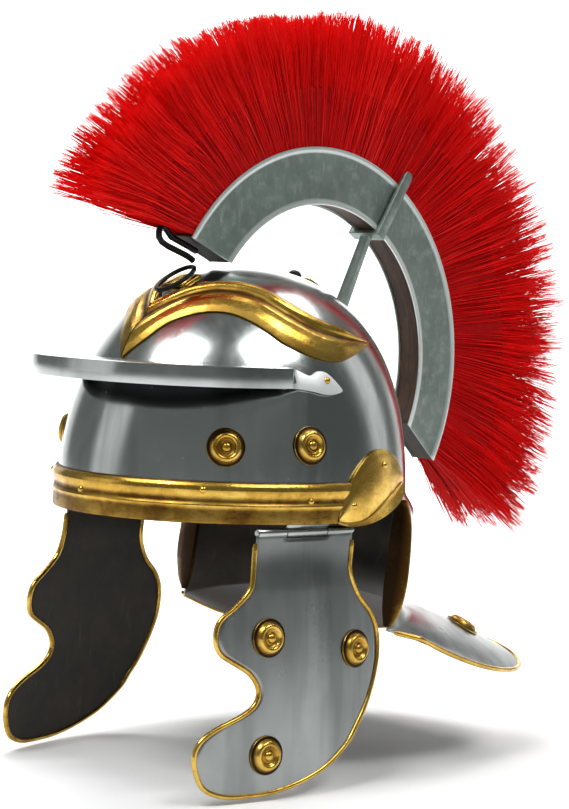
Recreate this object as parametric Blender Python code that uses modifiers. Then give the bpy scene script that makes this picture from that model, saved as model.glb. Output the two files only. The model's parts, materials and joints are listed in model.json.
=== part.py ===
"""Legionary helmet with a fore-and-aft horsehair crest, modelled in metres.

The origin is the middle of the head opening at the lower edge of the brow band.
The face looks along -Y, +X is the wearer's left and +Z is up.
"""

import math

import bmesh
import bpy
from mathutils import Matrix, Vector

NAME = "legionary_helmet"

# Clearances between pieces that touch on the real helmet
GAP = 0.0003
SEAT = 0.0005

# Bowl of sheet steel
BOWL_HALF_WIDTH = 0.100
BOWL_HALF_LENGTH = 0.125
BOWL_HEIGHT = 0.153
BOWL_FULLNESS = 2.2
SHEET = 0.0012
BOWL_STEPS = 40
BOWL_ROWS = 9
EAR_HOLE_RISE = 0.014
EAR_HOLE_START = math.radians(96)
EAR_HOLE_END = math.radians(108)
NAPE_FIRST_STEP = 13
REAR_TRIM = 0.045
REAR_TRIM_START = math.radians(117)
REAR_TRIM_END = math.radians(143)

# Nape and neck guard, one sheet with the bowl
NAPE_DROP = 0.0705
NAPE_HALF_WIDTH = 0.924 * BOWL_HALF_WIDTH
NAPE_BACK = 0.856 * BOWL_HALF_LENGTH
NAPE_FRONT = 0.376 * BOWL_HALF_LENGTH
GUARD_HALF_WIDTH = 1.08 * BOWL_HALF_WIDTH
GUARD_REAR = 1.784 * BOWL_HALF_LENGTH
GUARD_SIDE_START = 0.496 * BOWL_HALF_LENGTH
GUARD_FALL = 0.0400
GUARD_ARCH = 0.021
GUARD_SWELL = 0.005
GUARD_SQUARENESS = 3.2
GUARD_SOFTNESS = 0.40
GUARD_ROWS = 5

# Brass brow band and its rivets
BAND_HEIGHT = 0.025
BAND_PROUD = 0.0030
BAND_STEPS = 28
RIVET_RADIUS = 0.0022
RIVET_HEIGHT = 0.0016

# Steel brow guard, a standing strip with a plate behind it
BROW_GUARD_TOP = 0.608 * BOWL_HEIGHT
BROW_GUARD_HEIGHT = 0.012
BROW_GUARD_SHEET = 0.0015
BROW_GUARD_HALF_WIDTH = 0.90 * BOWL_HALF_WIDTH
BROW_GUARD_REACH = 1.136 * BOWL_HALF_LENGTH
BROW_GUARD_BACK = 0.336 * BOWL_HALF_LENGTH
BROW_GUARD_FULLNESS = 2.4
BROW_TAB_END = 0.004

# Embossed brass eyebrows
EYEBROW_SHEET = 0.0010
EYEBROW_SEAT = 0.0009
EYEBROW_RELIEF = 0.0030

# Brass ear guards
EAR_GUARD_FRONT = -0.109 * BOWL_HALF_LENGTH
EAR_GUARD_LENGTH = 0.552 * BOWL_HALF_LENGTH
EAR_GUARD_HEIGHT = 0.044
EAR_GUARD_SHEET = 0.0014
EAR_LIP = 0.009

# Turned brass bosses
BOSS_RADIUS = 0.01175
BOSS_HEIGHT = 0.0048
BOSS_STEPS = 9

# Hinges and cheek guards
HINGE_FRONT = -0.536 * BOWL_HALF_LENGTH
HINGE_REAR = 0.048 * BOWL_HALF_LENGTH
HINGE_LEVEL = -0.005
HINGE_FRONT_X = 0.855 * BOWL_HALF_WIDTH
HINGE_REAR_X = 0.945 * BOWL_HALF_WIDTH
KNUCKLE_RADIUS = 0.00275
KNUCKLE_GAP = 0.0004
PIN_RADIUS = 0.0011
LEAF_HEIGHT = 0.013
LEAF_SHEET = 0.0012
CHEEK_DROP = 0.1585
CHEEK_REACH = 0.100
CHEEK_SWELL = 0.0144
CHEEK_CURL = 0.0121
CHEEK_SHEET = 0.0012
CHEEK_COLUMNS = 4
EDGING_RADIUS = 0.0016

# Crest box, wooden block, fork and hook
CREST_CENTRE_Y = 0.472 * BOWL_HALF_LENGTH
CREST_CENTRE_Z = BOWL_HEIGHT - 0.061
CREST_RADIUS = 0.1412
CREST_DEPTH = 0.0375
CREST_WIDTH = 0.020
CREST_SHEET = 0.0012
CREST_FRONT = math.radians(-57.2)
CREST_REAR = math.radians(118)
CREST_FRONT_SLANT = math.radians(4)
CREST_REAR_SLANT = math.radians(-5)
CREST_STEPS = 26
FORK_ANGLE = math.radians(31.5)
FORK_BAR = 0.008
FORK_SHEET = 0.003
FORK_OVERTOP = 0.012
FORK_FOOT_Y = 0.672 * BOWL_HALF_LENGTH
CROWN_PLATE_FRONT = 0.40 * BOWL_HALF_LENGTH
CROWN_PLATE_REAR = 0.752 * BOWL_HALF_LENGTH
CROWN_PLATE_WIDTH = 0.018
CROWN_PLATE_SHEET = 0.002
CROWN_PLATE_SWELL = 0.0026
STUD_RADIUS = 0.0046
STUD_HEIGHT = 0.0060
HOOK_WIRE = 0.0021
RING_WIRE = 0.0016
RING_STEPS = 16
RING_LENGTH = 0.031
RING_WIDTH = 0.017
RING_SEAT_Y = -0.48 * BOWL_HALF_LENGTH
HOOK_PLATE_SHEET = 0.003
HOOK_PLATE_HALF = 0.0098

# Horsehair plume
PLUME_LENGTH = 0.089
PLUME_FRONT_SPREAD = 0.024
PLUME_REAR_SPREAD = 0.036
PLUME_STEPS = 42
PLUME_FRONT_FLARE = math.radians(9)
PLUME_REAR_FLARE = math.radians(5)
LOCK_DEPTH = 0.0035

STEEL = ("polished_steel", (0.62, 0.63, 0.64), 0.22, 1.0)
BRASS = ("brass", (0.78, 0.55, 0.16), 0.28, 1.0)
ZINC = ("galvanised_sheet", (0.36, 0.43, 0.39), 0.45, 0.8)
WOOD = ("dark_wood", (0.16, 0.07, 0.03), 0.7, 0.0)
BLACK = ("black_iron", (0.02, 0.02, 0.02), 0.5, 0.6)
HAIR = ("red_horsehair", (0.62, 0.01, 0.01), 0.6, 0.0)


def clear_scene():
    for item in list(bpy.data.objects):
        bpy.data.objects.remove(item, do_unlink=True)


def new_collection(name):
    group = bpy.data.collections.new(name)
    bpy.context.scene.collection.children.link(group)
    return group


clear_scene()
PARTS = new_collection(NAME)
CUTTERS = new_collection("cutters")


def finish_material(spec):
    name, colour, roughness, metallic = spec
    found = bpy.data.materials.get(name)
    if found:
        return found
    material = bpy.data.materials.new(name)
    material.use_nodes = True
    shader = material.node_tree.nodes["Principled BSDF"]
    shader.inputs["Base Color"].default_value = (*colour, 1.0)
    shader.inputs["Roughness"].default_value = roughness
    shader.inputs["Metallic"].default_value = metallic
    return material


def add_object(name, data, spec, group=None):
    item = bpy.data.objects.new(name, data)
    (group or PARTS).objects.link(item)
    data.materials.append(finish_material(spec))
    return item


def cutter(item):
    """Move a helper to the cutters, where it only shapes other pieces."""
    PARTS.objects.unlink(item)
    CUTTERS.objects.link(item)
    item.hide_render = True
    item.display_type = "WIRE"
    return item


def mesh_object(name, bm, spec, smooth=True, outward=True):
    if outward:
        bmesh.ops.recalc_face_normals(bm, faces=bm.faces)
    mesh = bpy.data.meshes.new(name)
    bm.to_mesh(mesh)
    bm.free()
    if smooth:
        mesh.shade_smooth()
        mesh.set_sharp_from_angle(angle=math.radians(35))
    return add_object(name, mesh, spec)


def loft(name, rings, spec):
    """Join rings of equal count into one capped solid."""
    bm = bmesh.new()
    rows = [[bm.verts.new(point) for point in ring] for ring in rings]
    count = len(rows[0])
    for low, high in zip(rows, rows[1:]):
        for k in range(count):
            n = (k + 1) % count
            bm.faces.new((low[k], low[n], high[n], high[k]))
    bm.faces.new(rows[0])
    bm.faces.new(rows[-1])
    return mesh_object(name, bm, spec)


def plate(name, under, over, spec):
    """Close two grids of points, one over the other, into a solid plate."""
    bm = bmesh.new()
    sides = [[[bm.verts.new(p) for p in row] for row in grid] for grid in (under, over)]
    rows, columns = len(under), len(under[0])
    for grid in sides:
        for i in range(rows - 1):
            for j in range(columns - 1):
                bm.faces.new((grid[i][j], grid[i][j + 1], grid[i + 1][j + 1], grid[i + 1][j]))
    rim = [(0, j) for j in range(columns)]
    rim += [(i, columns - 1) for i in range(1, rows)]
    rim += [(rows - 1, j) for j in range(columns - 2, -1, -1)]
    rim += [(i, 0) for i in range(rows - 2, 0, -1)]
    for (i, j), (m, n) in zip(rim, rim[1:] + rim[:1]):
        bm.faces.new((sides[0][i][j], sides[0][m][n], sides[1][m][n], sides[1][i][j]))
    return mesh_object(name, bm, spec)


def tube(name, points, radius, spec, closed=False, resolution=1):
    """A wire along the points, as a curve with filled ends."""
    curve = bpy.data.curves.new(name, "CURVE")
    curve.dimensions = "3D"
    curve.bevel_depth = radius
    curve.bevel_resolution = resolution
    curve.use_fill_caps = not closed
    spline = curve.splines.new("POLY")
    spline.points.add(len(points) - 1)
    for point, place in zip(spline.points, points):
        point.co = (*place, 1.0)
    spline.use_cyclic_u = closed
    return add_object(name, curve, spec)


def turned(name, profile, steps, spec):
    """Turn a profile of (radius, height) pairs, top to bottom, about Z."""
    mesh = bpy.data.meshes.new(name)
    edges = [(k, k + 1) for k in range(len(profile) - 1)]
    mesh.from_pydata([(r, 0.0, h) for r, h in profile], edges, [])
    item = add_object(name, mesh, spec)
    screw = item.modifiers.new("turn", "SCREW")
    screw.steps = screw.render_steps = steps
    screw.use_merge_vertices = True
    screw.merge_threshold = 0.00002
    return item


def stand_on(item, point, normal):
    """Put an object's local Z along a surface normal at a point."""
    turn = Vector(normal).to_track_quat("Z", "Y").to_matrix().to_4x4()
    item.matrix_world = Matrix.Translation(point) @ turn
    return item


def boolean(item, other, operation):
    step = item.modifiers.new(operation.lower(), "BOOLEAN")
    step.operation = operation
    step.solver = "EXACT"
    step.object = other


def smooth_rows(table, parts):
    """Catmull-Rom rows between the rows of a table."""
    rows = []
    for k in range(len(table) - 1):
        before = table[max(k - 1, 0)]
        start, end = table[k], table[k + 1]
        after = table[min(k + 2, len(table) - 1)]
        for step in range(parts):
            t = step / parts
            rows.append(tuple(
                0.5 * (2 * b + (c - a) * t + (2 * a - 5 * b + 4 * c - d) * t * t
                       + (3 * b - a - 3 * c + d) * t ** 3)
                for a, b, c, d in zip(before, start, end, after)))
    rows.append(tuple(table[-1]))
    return rows


def mix(a, b, t):
    return a + (b - a) * t


# Places on the bowl

def bowl_share(z, off=0.0):
    """Plan size of the bowl at a height, as a share of its size at the rim."""
    rise = max(z, 0.0) / (BOWL_HEIGHT + off)
    return max(1.0 - rise ** BOWL_FULLNESS, 0.0) ** (1 / BOWL_FULLNESS)


def bowl_at(angle, z, off=0.0):
    """Bowl point at an angle from the brow towards the wearer's left."""
    share = bowl_share(z, off)
    return Vector(((BOWL_HALF_WIDTH + off) * share * math.sin(angle),
                   -(BOWL_HALF_LENGTH + off) * share * math.cos(angle), z))


def bowl_over(x, y, off=0.0):
    """Bowl point over a place in plan."""
    share = math.hypot(x / (BOWL_HALF_WIDTH + off), y / (BOWL_HALF_LENGTH + off))
    rise = max(1.0 - share ** BOWL_FULLNESS, 0.0) ** (1 / BOWL_FULLNESS)
    return Vector((x, y, (BOWL_HEIGHT + off) * rise))


def bowl_normal(point):
    x, y, z = point
    share = math.hypot(x / BOWL_HALF_WIDTH, y / BOWL_HALF_LENGTH)
    flat = share ** (BOWL_FULLNESS - 2) if share > 0 else 0.0
    rise = (max(z, 0.0) / BOWL_HEIGHT) ** (BOWL_FULLNESS - 1) / BOWL_HEIGHT
    return Vector((flat * x / BOWL_HALF_WIDTH ** 2, flat * y / BOWL_HALF_LENGTH ** 2,
                   rise)).normalized()


def bowl_beside(side, y, z, off=0.0):
    """Bowl point on one side at a length and a height."""
    share = bowl_share(z, off)
    along = min(abs(y) / ((BOWL_HALF_LENGTH + off) * share), 1.0)
    x = (BOWL_HALF_WIDTH + off) * share * math.sqrt(1.0 - along ** 2)
    return Vector((side * x, y, z))


def ease(t):
    t = min(max(t, 0.0), 1.0)
    return t * t * (3 - 2 * t)


# Bowl, nape and neck guard

# Columns: depth share at the middle and at the side, width share, front and back shares
NAPE_SECTIONS = (
    (0.00, -0.06, 0.955, 1.19, 1.078),
    (0.20, 0.11, 0.952, 1.15, 1.046),
    (0.43, 0.34, 0.952, 1.11, 1.030),
    (0.62, 0.60, 0.952, 1.06, 0.992),
    (0.76, 0.82, 0.963, 1.03, 1.000),
    (0.85, 1.00, 1.000, 1.00, 1.065),
)


def rim_level(angle):
    """Height of the bowl's lower edge, which rises over the ears."""
    turn = abs(math.remainder(angle, 2 * math.pi))
    return EAR_HOLE_RISE * ease((turn - EAR_HOLE_START) / (EAR_HOLE_END - EAR_HOLE_START))


def rear_share(angle, z):
    """The back of the bowl is drawn in a little, most of all low down."""
    turn = abs(math.remainder(angle, 2 * math.pi))
    back = ease((turn - REAR_TRIM_START) / (REAR_TRIM_END - REAR_TRIM_START))
    share = 1 - REAR_TRIM * back * (1 - ease(z / (0.8 * BOWL_HEIGHT)))
    return Matrix.Diagonal((share, share, 1.0))


def nape_row(section, columns):
    depth_mid, depth_side, width, front, back = section
    row = []
    for k in range(columns):
        turn = math.pi * k / (columns - 1)
        bulge = math.sin(turn)
        row.append(Vector((NAPE_HALF_WIDTH * width * math.cos(turn),
                           mix(NAPE_FRONT * front, NAPE_BACK * back, bulge),
                           -NAPE_DROP * mix(depth_side, depth_mid, bulge))))
    return row


def guard_edge(columns):
    """Outer edge of the neck guard, from the wearer's left to the right."""
    row = []
    power = 2 / GUARD_SQUARENESS
    for k in range(columns):
        turn = math.pi * k / (columns - 1)
        x = GUARD_HALF_WIDTH * math.copysign(abs(math.cos(turn)) ** power, math.cos(turn))
        back = math.sin(turn) ** power if 0 < k < columns - 1 else 0.0
        y = mix(GUARD_SIDE_START, GUARD_REAR, back)
        fall = 1 - (1 - back) ** 2
        ridge = (math.hypot(1, GUARD_SOFTNESS)
                 - math.hypot(x / GUARD_HALF_WIDTH, GUARD_SOFTNESS))
        z = -NAPE_DROP - 0.004 - (GUARD_FALL - 0.004) * fall + GUARD_ARCH * ridge * back
        row.append(Vector((x, y, z)))
    return row


def bowl_surface():
    """Rows of the whole sheet: the bowl as rings, then nape and guard as strips."""
    rings = []
    for row in range(BOWL_ROWS):
        climb = math.sin(math.pi / 2 * row / BOWL_ROWS) ** (2 / BOWL_FULLNESS)
        ring = []
        for k in range(BOWL_STEPS):
            angle = 2 * math.pi * k / BOWL_STEPS
            place = bowl_at(angle, mix(rim_level(angle), BOWL_HEIGHT, climb))
            ring.append(rear_share(angle, place.z) @ place)
        rings.append(ring)
    columns = BOWL_STEPS - 2 * NAPE_FIRST_STEP + 1
    strips = [nape_row(section, columns) for section in NAPE_SECTIONS]
    root = strips[-1]
    edge = guard_edge(columns)
    for row in range(1, GUARD_ROWS + 1):
        t = row / GUARD_ROWS
        swell = GUARD_SWELL * math.sin(math.pi * t ** 0.75)
        strips.append([root[k].lerp(edge[k], t)
                       + Vector((0, 0, swell * math.sin(math.pi * k / (columns - 1))))
                       for k in range(columns)])
    return rings, strips


def make_bowl():
    rings, strips = bowl_surface()
    bm = bmesh.new()
    rows = [[bm.verts.new(p) for p in ring] for ring in rings]
    top = bm.verts.new((0, 0, BOWL_HEIGHT))
    for low, high in zip(rows, rows[1:]):
        for k in range(BOWL_STEPS):
            n = (k + 1) % BOWL_STEPS
            bm.faces.new((low[k], low[n], high[n], high[k]))
    for k in range(BOWL_STEPS):
        bm.faces.new((rows[-1][k], rows[-1][(k + 1) % BOWL_STEPS], top))
    above = [rows[0][NAPE_FIRST_STEP + k] for k in range(len(strips[0]))]
    for strip in strips:
        below = [bm.verts.new(p) for p in strip]
        for k in range(len(strip) - 1):
            bm.faces.new((below[k], below[k + 1], above[k + 1], above[k]))
        above = below
    item = mesh_object("bowl", bm, STEEL, outward=False)
    wall = item.modifiers.new("sheet", "SOLIDIFY")
    wall.thickness = SHEET
    wall.offset = -1
    wall.use_even_offset = True
    return item


def outward_from(points, away):
    """Move points sideways, away from a middle place, by a distance each."""
    moved = []
    for k, point in enumerate(points):
        before = points[max(k - 1, 0)]
        after = points[min(k + 1, len(points) - 1)]
        along = (after - before).normalized()
        out = away(point)
        out = (out - along * out.dot(along)).normalized()
        moved.append(point + out * (EDGING_RADIUS + GAP))
    return moved


def resample(points, spacing):
    """Even points along a route."""
    lengths = [0.0]
    for a, b in zip(points, points[1:]):
        lengths.append(lengths[-1] + (b - a).length)
    count = max(int(round(lengths[-1] / spacing)), 2)
    result, k = [], 0
    for step in range(count + 1):
        goal = lengths[-1] * step / count
        while k < len(points) - 2 and lengths[k + 1] < goal:
            k += 1
        span = lengths[k + 1] - lengths[k]
        result.append(points[k].lerp(points[k + 1], (goal - lengths[k]) / span))
    return result


def make_neck_edging():
    _, strips = bowl_surface()
    edge = strips[-1]
    middle = Vector((0, mix(NAPE_BACK, GUARD_REAR, 0.5), edge[0].z))
    flat = Vector((1, 1, 0.35))
    near = [strip[0] for strip in strips[len(NAPE_SECTIONS) + 1:-1]]
    far = [strip[-1] for strip in strips[len(NAPE_SECTIONS) + 1:-1]]
    route = outward_from(near + edge + far[::-1], lambda p: (p - middle) * flat)
    tube("neck_edging", route, EDGING_RADIUS, BRASS)


# Columns: depth share from the ear hole to the corner, distance outside the nape sheet,
# reach outward of the strip
NAPE_EDGE_SECTIONS = (
    (-0.16, 0.0020, 0.0060),
    (0.06, 0.0015, 0.0132),
    (0.36, 0.0012, 0.0156),
    (0.62, 0.0012, 0.0158),
    (0.84, 0.0012, 0.0112),
    (0.97, 0.0012, 0.0035),
)


def make_nape_edging(side, word):
    """Brass strip that flares out along the front edge of the nape."""
    _, strips = bowl_surface()
    edge = [strips[k][0] for k in range(len(NAPE_SECTIONS))]
    rings = []
    for depth, clear, reach in NAPE_EDGE_SECTIONS:
        z = -NAPE_DROP * depth
        upper = [p for p in edge if p.z >= z] or edge[:1]
        lower = [p for p in edge if p.z < z] or edge[-1:]
        a, b = upper[-1], lower[0]
        t = (a.z - z) / (a.z - b.z) if a.z > b.z else 0.0
        base = a.lerp(b, t)
        front = base.y - GAP - clear
        rings.append([Vector((side * x, y, z)) for x, y in (
            (base.x - 0.0015, front), (base.x - 0.0015, front - EDGING_RADIUS),
            (base.x + reach, front - EDGING_RADIUS + 0.002), (base.x + reach, front + 0.002))])
    loft("nape_edging_" + word, rings, BRASS)


# Brow band

# Columns: height share, share of the band's relief
BAND_PROFILE = (
    (0.00, 0.40), (0.36, 0.42), (0.43, 0.75), (0.50, 0.42), (0.66, 0.66), (0.82, 1.00),
    (1.00, 0.30),
)


def ear_guard_front(z):
    """Length at which the ear guard's front edge crosses a height."""
    share = min(max(z / EAR_GUARD_HEIGHT, 0.0), 1.0)
    return EAR_GUARD_FRONT + EAR_GUARD_LENGTH * 0.18 * share ** 1.4 / 0.5


def make_brow_band():
    under, over = [], []
    for height, relief in BAND_PROFILE:
        z = BAND_HEIGHT * height
        share = bowl_share(z)
        end_y = ear_guard_front(z) - 0.0022
        end = math.acos(min(max(-end_y / (BOWL_HALF_LENGTH * share), -1.0), 1.0))
        angles = [mix(-end, end, k / BAND_STEPS) for k in range(BAND_STEPS + 1)]
        under.append([bowl_at(a, z, SEAT) for a in angles])
        over.append([bowl_at(a, z, SEAT + BAND_PROUD * relief) for a in angles])
    plate("brow_band", under, over, BRASS)


RIVET_PROFILE = ((0.0, 1.0), (0.75, 0.62), (1.0, 0.0), (0.0, 0.0))


def rivet(name, place, normal, spec=BRASS, size=1.0):
    profile = [(r * RIVET_RADIUS * size, h * RIVET_HEIGHT * size) for r, h in RIVET_PROFILE]
    return stand_on(turned(name, profile, 7, spec), place, normal)


def make_band_rivets():
    # Columns: name, angle from the brow in degrees, height share of the band, relief there
    for name, angle, height, relief in (
            ("front", -4, 0.56, 0.55), ("left", 41, 0.80, 1.0), ("right", -41, 0.80, 1.0),
            ("left_back", 74, 0.56, 0.55), ("right_back", -74, 0.56, 0.55)):
        place = bowl_at(math.radians(angle), BAND_HEIGHT * height,
                        SEAT + BAND_PROUD * relief + GAP)
        rivet("band_rivet_" + name, place, bowl_normal(place))


# Brow guard

# Columns: share of the way to the tab's end, top and bottom as shares of the guard's height
TAB_SECTIONS = (
    (0.00, 0.92, -0.06), (0.28, 0.62, -0.16), (0.50, 0.84, -0.28),
    (0.68, 0.78, -0.30), (0.86, 0.40, -0.24), (1.00, -0.02, -0.14),
)
TAB_START = 0.036


def guard_strip(x, y, top, bottom):
    """Ring of six points: standing strip with the plate behind it."""
    angle = math.atan2(x / BOWL_HALF_WIDTH, -y / BOWL_HALF_LENGTH)
    inward = (bowl_at(angle, bottom) - Vector((x, y, bottom)))
    inward.z = 0
    inward.normalize()
    outer = Vector((x, y, 0))
    inner = outer + inward * BROW_GUARD_SHEET
    under = top - BROW_GUARD_SHEET
    rest = bowl_at(angle, under, SEAT)
    up = Vector((0, 0, 1))
    return [outer + up * bottom, outer + up * top, Vector((rest.x, rest.y, top)),
            rest, inner + up * under, inner + up * bottom]


def make_brow_guard():
    bottom = BROW_GUARD_TOP - BROW_GUARD_HEIGHT
    power = 2 / BROW_GUARD_FULLNESS
    half = []
    for k in range(14):
        turn = math.radians(88) * k / 13
        x = BROW_GUARD_HALF_WIDTH * math.sin(turn) ** power if k else 0.0
        y = -BROW_GUARD_BACK - (BROW_GUARD_REACH - BROW_GUARD_BACK) * math.cos(turn) ** power
        half.append(guard_strip(x, y, BROW_GUARD_TOP, bottom))
    for along, high, low in TAB_SECTIONS:
        y = -mix(TAB_START, BROW_TAB_END, along)
        top = bottom + BROW_GUARD_HEIGHT * high
        foot = bottom + BROW_GUARD_HEIGHT * low
        near, far = SEAT, SEAT + BROW_GUARD_SHEET
        ring = [bowl_beside(1, y, z, off) for z, off in (
            (foot, far), (top, far), (top, near), (mix(foot, top, 0.96), near),
            (mix(foot, top, 0.92), near), (foot, near))]
        half.append(ring)
    mirrored = [[Vector((-p.x, p.y, p.z)) for p in ring] for ring in half[:0:-1]]
    loft("brow_guard", mirrored + half, STEEL)
    for side, word in ((1, "left"), (-1, "right")):
        place = bowl_beside(side, -mix(TAB_START, BROW_TAB_END, 0.66),
                            bottom + BROW_GUARD_HEIGHT * 0.42,
                            SEAT + BROW_GUARD_SHEET + GAP)
        rivet("brow_guard_rivet_" + word, place, bowl_normal(place), BRASS, 1.2)


# Eyebrows

# Columns: lower edge x and y, upper edge x and y, all as shares of the bowl's half sizes
EYEBROW_ROWS = (
    (0.004, -0.829, 0.004, -0.600), (0.108, -0.761, 0.060, -0.545),
    (0.186, -0.680, 0.104, -0.508), (0.272, -0.606, 0.150, -0.455),
    (0.361, -0.530, 0.210, -0.398), (0.447, -0.464, 0.306, -0.318),
    (0.536, -0.408, 0.412, -0.242), (0.633, -0.346, 0.507, -0.191),
    (0.703, -0.290, 0.565, -0.148), (0.770, -0.190, 0.615, -0.100),
    (0.805, -0.090, 0.660, -0.030), (0.812, 0.010, 0.682, 0.060),
    (0.792, 0.110, 0.692, 0.140), (0.745, 0.225, 0.690, 0.235),
    (0.680, 0.335, 0.668, 0.345),
)
# Columns: share of the way across, share of the relief
EYEBROW_PROFILE = (
    (0.00, 0.00), (0.30, 0.62), (0.62, 0.25), (0.84, 1.00), (1.00, 0.15),
)


def make_eyebrow(side, word):
    under, over = [], []
    rows = EYEBROW_ROWS
    for k, (low_x, low_y, high_x, high_y) in enumerate(rows):
        fade = min(1.0, (len(rows) - 1 - k) / 2)
        lower, upper = [], []
        for across, relief in EYEBROW_PROFILE:
            x = max(mix(low_x, high_x, across), 0.004) * BOWL_HALF_WIDTH
            y = mix(low_y, high_y, across) * BOWL_HALF_LENGTH
            seat = bowl_over(x, y)
            normal = bowl_normal(seat)
            rise = EYEBROW_SHEET + EYEBROW_RELIEF * relief * fade
            for row, off in ((lower, EYEBROW_SEAT), (upper, EYEBROW_SEAT + rise)):
                place = seat + normal * off
                row.append(Vector((side * place.x, place.y, place.z)))
        under.append(lower)
        over.append(upper)
    plate("eyebrow_" + word, under, over, BRASS)


# Ear guards

# Columns: share along, lower edge and upper edge as shares of the height, share of the lip
EAR_ROWS = (
    (0.00, 0.03, 0.10, 0.15), (0.08, 0.01, 0.37, 0.25), (0.18, 0.00, 0.63, 0.30),
    (0.34, 0.03, 0.86, 0.45), (0.51, 0.14, 0.99, 0.75), (0.70, 0.30, 0.99, 1.00),
    (0.88, 0.43, 0.86, 0.95), (1.00, 0.52, 0.66, 0.60),
)
EAR_ACROSS = (0.0, 0.35, 0.7, 1.0)


def make_ear_guard(side, word):
    under, over = [], []
    for along, low, high, lip in smooth_rows(EAR_ROWS, 2):
        y = EAR_GUARD_FRONT + EAR_GUARD_LENGTH * along
        seat = SEAT
        lower, upper = [], []
        foot = bowl_beside(side, y, EAR_GUARD_HEIGHT * low, seat)
        out = Vector((side * 0.62, 0.02, -0.78)).normalized()
        normal = Vector((side * 0.78, 0.10, 0.62)).normalized()
        for share in (1.0, 0.55):
            place = foot + out * EAR_LIP * lip * share
            place.x += side * 0.0002
            lower.append(place)
            upper.append(place + normal * EAR_GUARD_SHEET)
        for share in EAR_ACROSS:
            z = EAR_GUARD_HEIGHT * mix(low, high, share)
            place = bowl_beside(side, y, z, seat)
            lower.append(place)
            swell = EAR_GUARD_SHEET * (1 + 0.8 * math.sin(math.pi * share))
            upper.append(bowl_beside(side, y, z, seat + swell))
        under.append(lower)
        over.append(upper)
    plate("ear_guard_" + word, under, over, BRASS)
    for name, along, height in (("top", 0.63, 0.78), ("front", 0.18, 0.24)):
        y = EAR_GUARD_FRONT + EAR_GUARD_LENGTH * along
        place = bowl_beside(side, y, EAR_GUARD_HEIGHT * height,
                            SEAT + 1.8 * EAR_GUARD_SHEET + GAP)
        rivet("ear_rivet_%s_%s" % (name, word), place, bowl_normal(place))


# Bosses

# Columns: radius share, height share
BOSS_PROFILE = (
    (0.00, 1.00), (0.30, 0.48), (0.50, 0.84), (0.70, 0.80), (0.84, 0.20), (1.00, 0.16),
    (1.00, 0.00), (0.00, 0.00),
)


def boss(name, place, normal, size=1.0):
    profile = [(r * BOSS_RADIUS * size, h * BOSS_HEIGHT * size) for r, h in BOSS_PROFILE]
    return stand_on(turned(name, profile, BOSS_STEPS, BRASS), place, normal)


def make_bowl_bosses():
    for side, word in ((1, "left"), (-1, "right")):
        for name, angle, height in (("front", 47, 0.045), ("back", 74, 0.047)):
            place = bowl_at(math.radians(side * angle), height, GAP)
            boss("bowl_boss_%s_%s" % (name, word), place, bowl_normal(place))


def make_neck_bosses():
    _, strips = bowl_surface()
    row = strips[len(NAPE_SECTIONS) + GUARD_ROWS // 2]
    ahead = strips[len(NAPE_SECTIONS) + GUARD_ROWS // 2 + 1]
    column = len(row) // 3
    for side, word in ((1, "left"), (-1, "right")):
        seat = row[column].lerp(ahead[column], 0.5)
        across = row[column + 1] - row[column - 1]
        along = ahead[column] - row[column]
        normal = along.cross(across)
        if normal.z < 0:
            normal = -normal
        normal.normalize()
        place = seat + normal * 3 * GAP
        flip = Vector((side, 1, 1))
        boss("neck_boss_" + word, place * flip, normal * flip)


# Hinges and cheek guards

# Columns: depth share, front edge and rear edge as shares of the reach
CHEEK_ROWS = (
    (0.030, -0.675, 0.062), (0.120, -0.682, 0.060), (0.185, -0.694, 0.054),
    (0.245, -0.724, 0.085), (0.305, -0.830, 0.145), (0.352, -0.935, 0.225),
    (0.410, -0.965, 0.280), (0.465, -0.942, 0.295), (0.505, -0.845, 0.294),
    (0.548, -0.737, 0.285), (0.613, -0.677, 0.252), (0.672, -0.708, 0.210),
    (0.712, -0.813, 0.175), (0.747, -0.957, 0.140), (0.790, -1.068, 0.085),
    (0.845, -1.108, 0.015), (0.922, -1.085, -0.165), (0.972, -1.020, -0.385),
    (1.000, -0.880, -0.620),
)


def hinge_point(side, y, z=HINGE_LEVEL):
    t = (y - HINGE_FRONT) / (HINGE_REAR - HINGE_FRONT)
    return Vector((side * mix(HINGE_FRONT_X, HINGE_REAR_X, t), y, z))


def cheek_place(side, y, z):
    """Outer face of a cheek guard at a length and a height."""
    depth = -z / CHEEK_REACH
    along = y / CHEEK_REACH
    x = (0.911 * BOWL_HALF_WIDTH + 0.0026 * along - CHEEK_CURL * along ** 2
         + CHEEK_SWELL * depth - 0.0034 * depth ** 2)
    top = abs(hinge_point(1, y).x) + CHEEK_SHEET / 2
    return Vector((side * mix(top, x, ease((-z - 0.010) / 0.030)), y, z))


def cheek_normal(side, y, z):
    step = 0.002
    down = cheek_place(side, y, z - step) - cheek_place(side, y, z + step)
    along = cheek_place(side, y + step, z) - cheek_place(side, y - step, z)
    normal = along.cross(down)
    return (normal if normal.x * side > 0 else -normal).normalized()


def cheek_edges():
    """Front and rear edge places, top to bottom, as lengths and heights."""
    return [(-CHEEK_DROP * depth, CHEEK_REACH * front, CHEEK_REACH * rear)
            for depth, front, rear in smooth_rows(CHEEK_ROWS, 2)]


def cylinder_along(name, start, end, radius, sides, spec):
    mesh = bpy.data.meshes.new(name)
    bm = bmesh.new()
    bmesh.ops.create_cone(bm, cap_ends=True, segments=sides, radius1=radius, radius2=radius,
                          depth=(end - start).length)
    bm.to_mesh(mesh)
    bm.free()
    item = add_object(name, mesh, spec)
    return stand_on(item, (start + end) / 2, end - start)


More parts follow.
